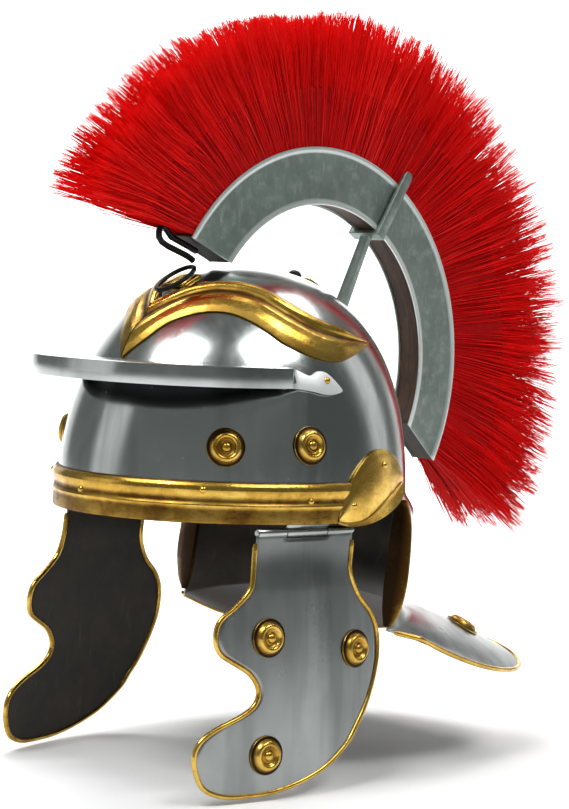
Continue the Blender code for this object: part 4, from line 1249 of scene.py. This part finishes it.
def barrel(name, side, start, end, radius, sides=28):
    """A rolled knuckle on the hinge line, with eased ends."""
    places = [(start + off, share) for off, share in KNUCKLE_EASE]
    places += [(end - off, share) for off, share in KNUCKLE_EASE[::-1]]
    along = (hinge_point(side, 1.0) - hinge_point(side, 0.0)).normalized()
    across = along.cross(Vector((0, 0, 1))).normalized()
    rings = [[hinge_point(side, y) + across * radius * r * math.cos(2 * math.pi * k / sides)
              + Vector((0, 0, 1)) * radius * r * math.sin(2 * math.pi * k / sides)
              for k in range(sides)] for y, r in places]
    return loft(name, rings, "polished_steel", sharp=40)


class HELMET_OT_hinges(bpy.types.Operator):
    """Make the bowl's half of each hinge: leaf, middle knuckle and pin"""

    bl_idname = "helmet.hinges"
    bl_label = "Hinges"

    def execute(self, context):
        s = sizes()
        for side, word in SIDES:
            inner, outer = [], []
            start, end = FIRST_KNUCKLE + 2 * KNUCKLE_GAP, SECOND_KNUCKLE - 2 * KNUCKLE_GAP
            wall = s.sheet + LEAF_GAP
            ys = [mix(start, end, k / 16) for k in range(17)]
            for share in (1.0, 0.7, 0.4, 0.12):
                z = LEAF_RISE * share
                inner.append([bowl_beside(side, y, z, -wall - s.sheet) for y in ys])
                outer.append([bowl_beside(side, y, z, -wall) for y in ys])
            low = [hinge_point(side, y, LEAF_FOOT) for y in ys]
            half = Vector((side * s.sheet / 2, 0, 0))
            inner.append([p - half for p in low])
            outer.append([p + half for p in low])
            leaf = plate("hinge_leaf_" + word, inner, outer, "polished_steel")
            settle(leaf, "helmet", "polished_steel", "hinge_" + word)
            middle = barrel("hinge_knuckle_" + word, side, start, end, KNUCKLE_RADIUS)
            settle(middle, "helmet", "polished_steel")
            for part, a, b in PIN_HEADS:
                head = barrel("hinge_pin_%s_%s" % (part, word), side, a, b, PIN_RADIUS)
                settle(head, "helmet", "polished_steel")
        return {"FINISHED"}


# How far the wire stands out of the sheet's edge, as a share of its radius, and how much
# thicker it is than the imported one
WIRE_REACH = 0.35
WIRE_SWELL = 1.02
GUARD_MIDDLE = 0.163
GUARD_EDGE_COLUMNS = 141
NAPE_STRIP_REACH = 0.0158


class HELMET_OT_edgings(bpy.types.Operator):
    """Run the brass edging round the cheek guards, neck guard and nape"""

    bl_idname = "helmet.edgings"
    bl_label = "Edgings"

    def execute(self, context):
        s = sizes()
        wire = s.wire_radius
        for side, word in SIDES:
            rows = cheek_edges()
            route = [(f, z) for z, f, r in rows] + [(r, z) for z, f, r in reversed(rows)]
            path = []
            for k, (y, z) in enumerate(route):
                before, after = route[max(k - 1, 0)], route[min(k + 1, len(route) - 1)]
                dy, dz = after[0] - before[0], after[1] - before[1]
                step = wire * WIRE_REACH / max(math.hypot(dy, dz), 1e-9)
                place = cheek_place(side, y + dz * step, z - dy * step)
                path.append(place - cheek_normal(side, y, z) * s.sheet / 2)
            item = tube("cheek_wire_" + word, resample(soften(path), 0.0022),
                        wire * WIRE_SWELL, "brass")
            settle(item, "cheek_guard_" + word, "brass", "cheek_edging_" + word)
            self.nape_strip(side, word)
        _, strips = bowl_rows()
        flanks = strips[3 - GUARD_ROWS:-1]
        edge = [row[0] for row in flanks] + guard_edge(GUARD_EDGE_COLUMNS)
        edge += [row[-1] for row in flanks[::-1]]
        middle = Vector((0, GUARD_MIDDLE, edge[0].z))
        path = []
        for k, point in enumerate(edge):
            along = (edge[min(k + 1, len(edge) - 1)] - edge[max(k - 1, 0)]).normalized()
            out = (point - middle) * Vector((1, 1, 0.35))
            out = (out - along * out.dot(along)).normalized()
            path.append(point + out * wire * WIRE_REACH + Vector((0, 0, -s.sheet / 2)))
        item = tube("neck_guard_wire", resample(path, 0.003), wire * WIRE_SWELL, "brass")
        settle(item, "helmet", "brass", "neck_edging")
        return {"FINISHED"}

    def nape_strip(self, side, word):
        """A folded brass strip over the front edge of the nape."""
        edge = nape_side()
        drop = sizes().nape_drop
        rings = []
        for share, reach in smooth_rows(NAPE_EDGE_SECTIONS, 7):
            z = -drop * share
            a = ([p for p in edge if p.z >= z] or edge[:1])[-1]
            b = ([p for p in edge if p.z < z] or edge[-1:])[0]
            t = (a.z - z) / (a.z - b.z) if a.z > b.z else 0.0
            base = a.lerp(b, t)
            front = base.y - sizes().clearance
            out = NAPE_STRIP_REACH * reach
            section = (
                (-0.0018, 0.0012), (-0.0020, -0.0004), (-0.0012, -0.0016),
                (0.0015, -0.0019), (out * 0.5, -0.0014), (out - 0.0006, -0.0002),
                (out, 0.0006), (out - 0.0004, 0.0014), (out * 0.5, 0.0002),
                (0.0015, -0.0002), (0.0004, 0.0000), (0.0003, 0.0012),
            )
            rings.append([Vector((side * (base.x + x), front + y, z)) for x, y in section])
        # Painted reflection: most of the strip is darkened towards black as the dark surroundings it mirrors; only its
        # outer edge stays brighter
        recess = [1.0] * 5 + [0.9, 0.4, 0.6] + [1.0] * 4
        item = loft("nape_strip_" + word, rings, "brass", recess, sharp=45)
        settle(item, "helmet", "brass", "nape_edging_" + word)


# Turned fittings, set out by geometry nodes

def new_group(name, **inputs):
    """A geometry node group, its tree, its input node and its inputs' identifiers."""
    group = bpy.data.node_groups.new(name, "GeometryNodeTree")
    identifiers = {}
    for label, kind in inputs.items():
        socket = group.interface.new_socket(label, in_out="INPUT",
                                            socket_type="NodeSocket" + kind)
        identifiers[label] = socket.identifier
    group.interface.new_socket("Geometry", in_out="OUTPUT", socket_type="NodeSocketGeometry")
    tree = Tree(group)
    return group, tree, tree.add("NodeGroupInput"), identifiers


def named_vector(tree, name):
    return tree.add("GeometryNodeInputNamedAttribute", {"data_type": "FLOAT_VECTOR"},
                    {"Name": name})[0]


def closing(tree, geometry, material):
    """End a tree: give the geometry its material and hand it out."""
    done = tree.add("GeometryNodeSetMaterial", {}, {"Geometry": geometry, "Material": material})
    tree.add("NodeGroupOutput", {}, {"Geometry": done[0]})


def grown(name, points, layers, group, identifiers, **values):
    """Run a node group on loose points with stored vectors and numbers, and bake it."""
    mesh = bpy.data.meshes.new(name)
    mesh.from_pydata(points, [], [])
    for label, rows in layers.items():
        write_layer(mesh, label, rows)
    item = new_object(name, mesh)
    step = item.modifiers.new("grow", "NODES")
    step.node_group = group
    for label, value in values.items():
        step[identifiers[label]] = value
    return baked(item)


def fitting_tree():
    """Set a turned piece on every point, facing along the point's own direction."""
    group, tree, start, identifiers = new_group(
        "turned_fittings", Points="Geometry", Piece="Object", Size="Float", Finish="Material")
    turn = tree.add("FunctionNodeAlignRotationToVector", {"axis": "Z"},
                    {"Vector": named_vector(tree, "facing")})
    piece = tree.add("GeometryNodeObjectInfo", {}, {"Object": start["Piece"]})
    scale = tree.add("ShaderNodeCombineXYZ", {}, {k: start["Size"] for k in range(3)})
    placed = tree.add("GeometryNodeInstanceOnPoints", {}, {
        "Points": start["Points"], "Instance": piece["Geometry"], "Rotation": turn[0],
        "Scale": scale[0]})
    real = tree.add("GeometryNodeRealizeInstances", {}, {"Geometry": placed[0]})
    closing(tree, real[0], start["Finish"])
    return group, identifiers


def set_out(name, places, piece, body, nodes):
    """Copies of a turned brass piece at (point, normal) places, as one plain mesh."""
    group, identifiers = fitting_tree()
    item = grown(name, [tuple(p) for p, _ in places], {"facing": [n for _, n in places]},
                 group, identifiers, Piece=piece, Size=1.0, Finish=finish("brass"))
    smooth_shade(item.data, 50)
    return settle(item, body, "brass", *nodes)


def master(name, profile, radius, height, steps, low):
    """The turned piece that the instances copy; it is removed afterwards."""
    points = [(r * radius, h * height) for r, h in profile]
    recess = [recess_of(h if r > 0.2 else 1.0, low, low + 0.4) if r < 0.99 else 0.2
              for r, h in profile]
    return revolve(name, points, steps, "brass", recess)


# Name, angle from the front in degrees and height of the bosses on the bowl
BOWL_BOSSES = (("front", 47, 0.045), ("back", 74, 0.047))
NECK_BOSS_ROW = 10
# Name, place along in the cheek guard's unit and share of its drop
CHEEK_BOSSES = (("front", -0.611, 0.421), ("rear", 0.082, 0.490), ("low", -0.634, 0.857))
RIVET_HEIGHT = 0.0016
# Name, angle in degrees and share of the band's height
BAND_RIVETS = (
    ("front", -4, 0.56), ("left", 41, 0.80), ("right", -41, 0.80), ("left_back", 74, 0.56),
    ("right_back", -74, 0.56),
)
# Name, shares of the ear guard's length and height
EAR_RIVETS = (("top", 0.63, 0.78), ("front", 0.18, 0.24))
EAR_RIVET_SEAT = 0.0022


def on_bowl(place):
    """A place on the bowl with the direction that a fitting there faces."""
    return place, bowl_normal(place)


class HELMET_OT_bosses(bpy.types.Operator):
    """Set the turned brass bosses on the bowl, neck guard and cheek guards"""

    bl_idname = "helmet.bosses"
    bl_label = "Bosses"

    def execute(self, context):
        s = sizes()
        piece = master("boss_master", BOSS_PROFILE, s.boss_radius, s.boss_height, 44, 0.25)
        places, names = [], []
        for side, word in SIDES:
            for name, angle, height in BOWL_BOSSES:
                angle = math.radians(side * angle)
                places.append(on_bowl(bowl_at(angle, height, s.clearance)))
                names.append("bowl_boss_%s_%s" % (name, word))
        _, strips = bowl_rows()
        row, ahead = strips[-NECK_BOSS_ROW], strips[1 - NECK_BOSS_ROW]
        column = len(row) // 3
        for side, word in SIDES:
            across = row[column + 1] - row[column - 1]
            normal = (ahead[column] - row[column]).cross(across).normalized()
            if normal.z < 0:
                normal = -normal
            flip = Vector((side, 1, 1))
            places.append(((row[column] + normal * s.clearance) * flip, normal * flip))
            names.append("neck_boss_" + word)
        set_out("bowl_bosses", places, piece, "helmet", names)
        for side, word in SIDES:
            places = []
            for name, along, depth in CHEEK_BOSSES:
                y, z = CHEEK_UNIT * along, -s.cheek_drop * depth
                normal = cheek_normal(side, y, z)
                places.append((cheek_place(side, y, z) + normal * s.clearance, normal))
            set_out("cheek_bosses_" + word, places, piece, "cheek_guard_" + word,
                    ["cheek_boss_%s_%s" % (row[0], word) for row in CHEEK_BOSSES])
        bpy.data.objects.remove(piece)
        return {"FINISHED"}


class HELMET_OT_rivets(bpy.types.Operator):
    """Set the small rivets of the band, ear guards and brow guard"""

    bl_idname = "helmet.rivets"
    bl_label = "Rivets"

    def execute(self, context):
        s = sizes()
        piece = master("rivet_master", RIVET_PROFILE, s.rivet_radius, RIVET_HEIGHT, 24,
                       -0.4)
        places, names = [], []
        for name, angle, height in BAND_RIVETS:
            off = s.clearance + s.band_proud * between(BAND_PROFILE, height)
            places.append(on_bowl(bowl_at(math.radians(angle), s.band_height * height, off)))
            names.append("band_rivet_" + name)
        for side, word in SIDES:
            for name, along, height in EAR_RIVETS:
                places.append(on_bowl(bowl_beside(
                    side, EAR_GUARD_FRONT + EAR_GUARD_LENGTH * along,
                    EAR_GUARD_HEIGHT * height, s.clearance + EAR_RIVET_SEAT)))
                names.append("ear_rivet_%s_%s" % (name, word))
            places.append(on_bowl(bowl_beside(
                side, -mix(TAB_START, TAB_END, 0.66), s.guard_top - s.guard_height * 0.58,
                s.clearance + BROW_GUARD_SHEET)))
            names.append("brow_guard_rivet_" + word)
        set_out("small_rivets", places, piece, "helmet", names)
        bpy.data.objects.remove(piece)
        return {"FINISHED"}


# Crest

CREST_Y = 0.0590
CREST_Z = 0.0920
CREST_FRONT = math.radians(-57.2)
CREST_REAR = math.radians(118)
FRONT_SLANT = math.radians(4)
REAR_SLANT = math.radians(-5)
CREST_STEPS = 120
CREST_RIB = 0.0024
CREST_PANEL_INSET = 0.0007
CREST_END_FACES = (0.0008, 0.0022)
BLOCK_STEPS = 90
BLOCK_GAP = 0.0002
BLOCK_INSET = 0.0026
BLOCK_OVER_BASE = 0.0013
BLOCK_UNDER_TOP = 0.004


def crest_point(x, radius, angle):
    """Place on the crest's arc; the angle is 0 upright and grows to the rear."""
    return Vector((x, CREST_Y + radius * math.sin(angle), CREST_Z + radius * math.cos(angle)))


def crest_ring(t, section, inset=0.0):
    """A section of the crest box, a share of the way from its front to its rear end."""
    s = sizes()
    ring = []
    for x, radius in section:
        depth = (s.crest_radius - radius) / s.crest_depth
        front = CREST_FRONT + FRONT_SLANT * depth + inset / s.crest_radius
        rear = CREST_REAR + REAR_SLANT * depth - inset / s.crest_radius
        ring.append(crest_point(x, radius, mix(front, rear, t)))
    return ring


class HELMET_OT_crest_box(bpy.types.Operator):
    """Make the ribbed sides and end plates of the crest box, and its wooden block"""

    bl_idname = "helmet.crest_box"
    bl_label = "Crest Box"

    def execute(self, context):
        s = sizes()
        half, base = s.crest_width / 2, s.crest_radius - s.crest_depth
        top, inner, rib = s.crest_radius, s.crest_width / 2 - s.sheet, CREST_RIB
        panel = half - CREST_PANEL_INSET
        # Lighter on the outer ribs and the edges of the sheet
        worn = [0.6, 1.0, 1.0, 0.5, 0.0, 0.0, 0.5, 1.0, 1.0, 0.6]
        parts = []
        for side, word in SIDES:
            section = [(inner, base), (half, base), (half, base + rib),
                       (panel + 0.0001, base + rib + 0.0012), (panel, base + rib + 0.002),
                       (panel, top - rib - 0.002), (panel + 0.0001, top - rib - 0.0012),
                       (half, top - rib), (half, top), (inner, top)]
            section = [(side * x, r) for x, r in section]
            rings = [crest_ring(k / CREST_STEPS, section) for k in range(CREST_STEPS + 1)]
            item = loft("crest_side_" + word, rings, "crest_sheet", worn, "worn", 40)
            parts.append(with_bevel(item, 0.00025, 40))
        for name, t in (("front", 0.0), ("rear", 1.0)):
            section = [(inner, base), (inner, top), (-inner, top), (-inner, base)]
            rings = [crest_ring(t, section, deep) for deep in CREST_END_FACES]
            parts.append(loft("crest_end_" + name, rings, "steel_inside"))
        settle(parts[0], "helmet", "galvanised_sheet", "crest_box")
        for item in parts[1:]:
            settle(item, "helmet", "galvanised_sheet")
        fill = inner - BLOCK_GAP
        low, high = base + BLOCK_OVER_BASE, top - BLOCK_UNDER_TOP
        section = [(fill, low), (fill, high), (-fill, high), (-fill, low)]
        rings = [crest_ring(k / BLOCK_STEPS, section, BLOCK_INSET)
                 for k in range(BLOCK_STEPS + 1)]
        block = with_bevel(loft("crest_wood", rings, "dark_wood"), 0.0005)
        settle(block, "helmet", "dark_wood", "crest_block")
        return {"FINISHED"}


class HELMET_OT_crest_fittings(bpy.types.Operator):
    """Make the fork, crown plate and stud, hook, ring and hook plate"""

    bl_idname = "helmet.crest_fittings"
    bl_label = "Crest Fittings"

    def execute(self, context):
        for node, name, material, slot, bevel in (
                ("crest_fork", "fork_bar", "crest_sheet", "galvanised_sheet", 0.0006),
                ("crown_plate", "crown_strip", "brass", "brass", 0.0004),
                ("hook_plate", "hook_base", "brass", "brass", 0.0006),
                ("crown_stud", "crown_knob", "black_iron", "black_iron", 0.0005),
                ("crest_hook", "hook_wire", "black_iron", "black_iron", 0.0003),
                ("hook_ring", "ring_wire", "black_iron", "black_iron", 0.0003)):
            item = from_node(node, name, material, bevel)
            settle(item, "helmet", slot, node)
        return {"FINISHED"}


# Plume

def hair_tree():
    """Grow a tapered strand from every point along the point's own reach."""
    group, tree, start, identifiers = new_group(
        "horsehair", Points="Geometry", Radius="Float", Wave="Float", Frizz="Float",
        Finish="Material")
    line = tree.add("GeometryNodeCurvePrimitiveLine", {}, {"End": (0.0, 0.0, 1.0)})
    line = tree.add("GeometryNodeResampleCurve", {}, {"Curve": line[0], "Count": 5})
    reach = named_vector(tree, "reach")
    turn = tree.add("FunctionNodeAlignRotationToVector", {"axis": "Z"}, {"Vector": reach})
    length = tree.add("ShaderNodeVectorMath", {"operation": "LENGTH"}, {0: reach})["Value"]
    scale = tree.add("ShaderNodeCombineXYZ", {}, {0: 1.0, 1: 1.0, 2: length})
    placed = tree.add("GeometryNodeInstanceOnPoints", {}, {
        "Points": start["Points"], "Instance": line[0], "Rotation": turn[0],
        "Scale": scale[0]})
    real = tree.add("GeometryNodeRealizeInstances", {}, {"Geometry": placed[0]})
    factor = tree.add("GeometryNodeSplineParameter")["Factor"]
    place = tree.add("GeometryNodeInputPosition")[0]
    pull = tree.add("ShaderNodeVectorMath", {"operation": "SCALE"},
                    {0: named_vector(tree, "bend"), "Scale": factor ** 2.2})[0]
    for size, amount, power in ((24.0, start["Wave"], 1.3), (150.0, start["Frizz"], 1.0)):
        noise = tree.add("ShaderNodeTexNoise", {},
                         {"Vector": place, "Scale": size, "Detail": 1.0})["Color"]
        centred = tree.add("ShaderNodeVectorMath", {"operation": "SUBTRACT"},
                           {0: noise, 1: (0.5, 0.5, 0.5)})[0]
        shift = tree.add("ShaderNodeVectorMath", {"operation": "SCALE"},
                         {0: centred, "Scale": amount * factor ** power})[0]
        pull = tree.add("ShaderNodeVectorMath", {"operation": "ADD"}, {0: pull, 1: shift})[0]
    moved = tree.add("GeometryNodeSetPosition", {}, {"Geometry": real[0], "Offset": pull})
    kept = tree.add("GeometryNodeStoreNamedAttribute",
                    {"data_type": "FLOAT", "domain": "POINT"},
                    {"Geometry": moved[0], "Name": "along", "Value": factor})
    width = start["Radius"] * (1.0 - 0.72 * factor ** 1.6)
    ring = tree.add("GeometryNodeCurvePrimitiveCircle", {}, {"Resolution": 3, "Radius": 1.0})
    skin = tree.add("GeometryNodeCurveToMesh", {}, {
        "Curve": kept[0], "Profile Curve": ring[0], "Scale": width, "Fill Caps": True})
    closing(tree, skin[0], start["Finish"])
    return group, identifiers


# Share of the way round, hair length, half spread in metres
PLUME_SHAPE = (
    (0.00, 1.06, 0.023), (0.05, 1.07, 0.024), (0.14, 1.03, 0.026), (0.25, 0.99, 0.029),
    (0.36, 0.98, 0.032), (0.50, 1.00, 0.034), (0.62, 1.02, 0.036), (0.75, 1.05, 0.037),
    (0.86, 1.06, 0.037), (0.94, 1.04, 0.036), (1.00, 0.98, 0.034),
)


BUNDLES = 5
TUFTS = 1500
HAIR_WAVE = 0.011
HAIR_FRIZZ = 0.0045
HAIR_SAG = Vector((0, 0, -0.003))
ROOT_WALL_GAP = 0.0006
ROOT_DEPTH = 0.0035
ROOT_END_GAP = 0.030
CORE_STEPS = 90
CORE_WALL_GAP = 0.0008
CORE_DEPTH = 0.003
CORE_END_GAP = 0.034
# Share of the way out to the hair's side, and up its length
CORE_FLANK = ((0.0, 0.0), (0.10, 0.10), (0.30, 0.30), (0.44, 0.46), (0.20, 0.54))


def plume_shape(t):
    """Hair length as a share and half spread, a share of the way to the rear."""
    return between(PLUME_SHAPE, t, 1), between(PLUME_SHAPE, t, 2)


def plume_flare(t):
    """Lean of the tips in degrees, forwards at the front and backwards at the rear."""
    return mix(-9, 5, ease(t))


class HELMET_OT_plume(bpy.types.Operator):
    """Grow the red horsehair plume in bundles along the crest box"""

    bl_idname = "helmet.plume"
    bl_label = "Plume"

    def execute(self, context):
        s = sizes()
        rng = np.random.default_rng(s.seed)
        group, identifiers = hair_tree()
        tufts = self.tufts(rng)
        for k in range(BUNDLES):
            roots, layers = self.roots(k, rng, tufts)
            item = grown("hair_bundle_%d" % (k + 1), roots, layers, group, identifiers,
                         Radius=s.hair_radius, Wave=HAIR_WAVE, Frizz=HAIR_FRIZZ,
                         Finish=finish("horsehair"))
            item.data.shade_smooth()
            settle(item, "helmet", "red_horsehair", "plume")
        self.core()
        return {"FINISHED"}

    def tufts(self, rng):
        """Tips that neighbouring strands gather to, as share round and share across."""
        return np.array([(rng.random(), rng.uniform(-1, 1), rng.normal(0, 0.014),
                          rng.normal(0, 0.0035)) for _ in range(TUFTS)])

    def roots(self, bundle, rng, tufts):
        """Roots of one bundle, with each strand's reach, bend at the tip and tone."""
        s = sizes()
        half = s.crest_width / 2 - s.sheet - ROOT_WALL_GAP
        start = s.crest_radius - ROOT_DEPTH
        low, high = CREST_FRONT + ROOT_END_GAP, CREST_REAR - ROOT_END_GAP
        roots, reaches, bends, tones = [], [], [], []
        for _ in range(s.hair_count):
            t = (bundle + rng.random()) / BUNDLES
            across = rng.uniform(-1, 1)
            across = math.copysign(abs(across) ** 0.8, across)
            angle = mix(low, high, t)
            root = crest_point(half * across, start, angle)
            length, spread = plume_shape(t)
            far = (tufts[:, 0] - t) ** 2 * 60 + (tufts[:, 1] - across) ** 2 * 0.55
            clump_t, clump_across, clump_length, clump_turn = tufts[int(np.argmin(far))]
            stray = rng.random() < 0.05
            scale = length * (1 + clump_length + rng.normal(0, 0.012))
            if stray:
                scale *= rng.uniform(0.72, 1.05)
            elif rng.random() < 0.25:
                scale *= rng.uniform(0.70, 0.98)
            flare = math.radians(plume_flare(t) + 3.0 * math.sin(t * 23.0) * 0.3)
            tip_angle = angle + flare + rng.normal(0, 0.010)
            tip_radius = s.crest_radius + s.hair_length * scale
            tip = crest_point(spread * across + rng.normal(0, 0.0012), tip_radius, tip_angle)
            clump_angle = mix(low, high, clump_t) + flare + clump_turn
            clump = crest_point(plume_shape(clump_t)[1] * clump_across, tip_radius,
                                clump_angle)
            pull = 0.0 if stray else rng.uniform(0.25, 0.65)
            roots.append(tuple(root))
            reaches.append(tuple(tip - root))
            bends.append(tuple((clump - tip) * pull + HAIR_SAG))
            tones.append(rng.random())
        return roots, {"reach": reaches, "bend": bends, "tone": tones}

    def core(self):
        """A dark core that closes the roots of the hair, a painted stand-in for the shade deep in the plume."""
        s = sizes()
        half = s.crest_width / 2 - s.sheet - CORE_WALL_GAP
        low, high = CREST_FRONT + CORE_END_GAP, CREST_REAR - CORE_END_GAP
        rings = []
        for k in range(CORE_STEPS + 1):
            t = k / CORE_STEPS
            length, spread = plume_shape(t)
            ring = []
            for side in (1, -1):
                for share, rise in CORE_FLANK[::side]:
                    radius = s.crest_radius - CORE_DEPTH + s.hair_length * length * rise
                    x = mix(half, spread, share)
                    flare = math.radians(plume_flare(t)) * rise
                    ring.append(crest_point(side * x, radius, mix(low, high, t) + flare))
            rings.append(ring)
        settle(loft("hair_core", rings, "hair_core"), "helmet", "red_horsehair")


# Stage

# Camera, fitted to the photograph: the place that it turns about, its direction and its lens
TARGET_RIGHT = 0.027825
TARGET_UP = 0.066289
AZIMUTH = 0.759197
ELEVATION = 0.053283
DISTANCE = 1.39973
ROLL = 0.050792
FOCAL = 2193.143 / 569
SENSOR = 36
AHEAD = Vector((math.sin(AZIMUTH), -math.cos(AZIMUTH), 0))
RIGHT = Vector((math.cos(AZIMUTH), math.sin(AZIMUTH), 0))
# How far back the floor's sweep is, and how high
FLOOR_SWEEP = (
    (-5.6, 0.0), (0.5, 0.0), (4.4, 0.0), (5.0, 0.08), (5.4, 0.35), (5.6, 0.9), (5.7, 3.4),
)
FLOOR_HALF_WIDTH = 5.2
FLOOR_GAP = 0.0005
WORLD_COLOUR = (0.60, 0.64, 0.62, 1)
WORLD_STRENGTH = 0.27
HELMET_MIDDLE = Vector((0, 0.03, 0.08))
# Name, place as right, ahead and up, width, height, power; they aim at the helmet
HELMET_LIGHTS = (
    ("sky_left", (-0.58, 0.74, 1.37), 0.85, 0.50, 19),
    ("sky_right", (0.83, 0.52, 1.34), 0.80, 0.50, 10),
    ("left_card", (-1.45, 0.38, 0.40), 0.8, 1.0, 2.0),
    ("right_card", (1.35, -0.65, 0.40), 0.4, 1.0, 0.9),
    ("top", (-0.1, -0.5, 1.9), 1.0, 0.8, 10),
)
# The same with the place that each aims at after its own
BACKDROP_LIGHTS = (
    ("back_wash", (0.0, -1.5, 2.4), (0, -3.6, 0.0), 3.4, 1.8, 170),
    ("wall_wash", (0.0, -3.6, 2.8), (0, -5.6, 0.7), 4.0, 1.4, 150),
)


def stage_place(right, ahead, up):
    """A place given as the camera sees it, from the frame's origin."""
    return RIGHT * right + AHEAD * ahead + Vector((0, 0, up))


class HELMET_OT_stage(bpy.types.Operator):
    """Set the floor, the studio lights and the camera"""

    bl_idname = "helmet.stage"
    bl_label = "Stage"

    def execute(self, context):
        context.scene.view_settings.view_transform = "Standard"
        self.floor()
        self.lights()
        self.camera()
        return {"FINISHED"}

    def floor(self):
        level = CAD_BOX[0][2] - FLOOR_GAP
        verts = [stage_place(x, -back, level + rise)
                 for back, rise in smooth_rows(FLOOR_SWEEP, 6)
                 for x in (-FLOOR_HALF_WIDTH, FLOOR_HALF_WIDTH)]
        item = add_mesh("studio_floor", verts, grid_faces(len(verts) // 2, 2), "floor")
        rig.stage(item)

    def light(self, name, place, aim, width, height, power):
        data = bpy.data.lights.new(name, "AREA")
        data.shape = "RECTANGLE"
        data.size, data.size_y = width, height
        data.energy = power
        item = new_object(name, data)
        item.location = place
        item.rotation_euler = (aim - place).to_track_quat("-Z", "Y").to_euler()

    def lights(self):
        world = bpy.data.worlds.new("studio")
        bpy.context.scene.world = world
        world.use_nodes = True
        back = world.node_tree.nodes["Background"]
        back.inputs["Color"].default_value = WORLD_COLOUR
        back.inputs["Strength"].default_value = WORLD_STRENGTH
        for name, place, *size in HELMET_LIGHTS:
            self.light(name, stage_place(*place), HELMET_MIDDLE, *size)
        for name, place, aim, *size in BACKDROP_LIGHTS:
            self.light(name, stage_place(*place), stage_place(*aim), *size)

    def camera(self):
        view = AHEAD * math.cos(ELEVATION) + Vector((0, 0, math.sin(ELEVATION)))
        up = view.cross(RIGHT)
        rolled_right = RIGHT * math.cos(ROLL) + up * math.sin(ROLL)
        rolled_up = up * math.cos(ROLL) - RIGHT * math.sin(ROLL)
        place = stage_place(TARGET_RIGHT, 0, TARGET_UP) + view * DISTANCE
        data = bpy.data.cameras.new("camera")
        data.sensor_fit = "HORIZONTAL"
        data.sensor_width = SENSOR
        data.lens = FOCAL * SENSOR
        data.clip_start, data.clip_end = 0.05, 20
        item = new_object("camera", data)
        turn = Matrix((rolled_right, rolled_up, view)).transposed().to_4x4()
        item.matrix_world = Matrix.Translation(place) @ turn
        bpy.context.scene.camera = item


MAKERS = (
    HELMET_OT_stage, HELMET_OT_bowl, HELMET_OT_brow_guard, HELMET_OT_brow_band,
    HELMET_OT_eyebrows, HELMET_OT_ear_guards, HELMET_OT_cheek_guards, HELMET_OT_hinges,
    HELMET_OT_edgings, HELMET_OT_bosses, HELMET_OT_rivets, HELMET_OT_crest_box,
    HELMET_OT_crest_fittings, HELMET_OT_plume,
)


class HELMET_PT_panel(bpy.types.Panel):
    """Sizes, colours and pieces of the helmet"""

    bl_idname = "HELMET_PT_panel"
    bl_label = "Legionary Helmet"
    bl_space_type = "VIEW_3D"
    bl_region_type = "UI"
    bl_category = "Helmet"

    def draw(self, context):
        layout = self.layout
        for group in (context.scene.helmet_sizes, context.scene.helmet_colours):
            box = layout.box()
            for key in group.bl_rna.properties.keys():
                if key not in {"rna_type", "name"}:
                    box.prop(group, key)
        for maker in MAKERS:
            layout.operator(maker.bl_idname)


CLASSES = (HelmetSizes, HelmetColours, *MAKERS, HELMET_PT_panel)


def register():
    for item in CLASSES:
        bpy.utils.register_class(item)
    bpy.types.Scene.helmet_sizes = PointerProperty(type=HelmetSizes)
    bpy.types.Scene.helmet_colours = PointerProperty(type=HelmetColours)


def unregister():
    del bpy.types.Scene.helmet_colours
    del bpy.types.Scene.helmet_sizes
    for item in reversed(CLASSES):
        bpy.utils.unregister_class(item)


def main():
    register()
    for maker in MAKERS:
        family, name = maker.bl_idname.split(".")
        getattr(getattr(bpy.ops, family), name)()
    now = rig.bounds()
    boxes = {"cad": [list(map(float, corner)) for corner in CAD_BOX],
             "visual": [list(map(float, corner)) for corner in now]}
    with open("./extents.json", "w") as file:
        json.dump(boxes, file)


if __name__ == "__main__":
    main()
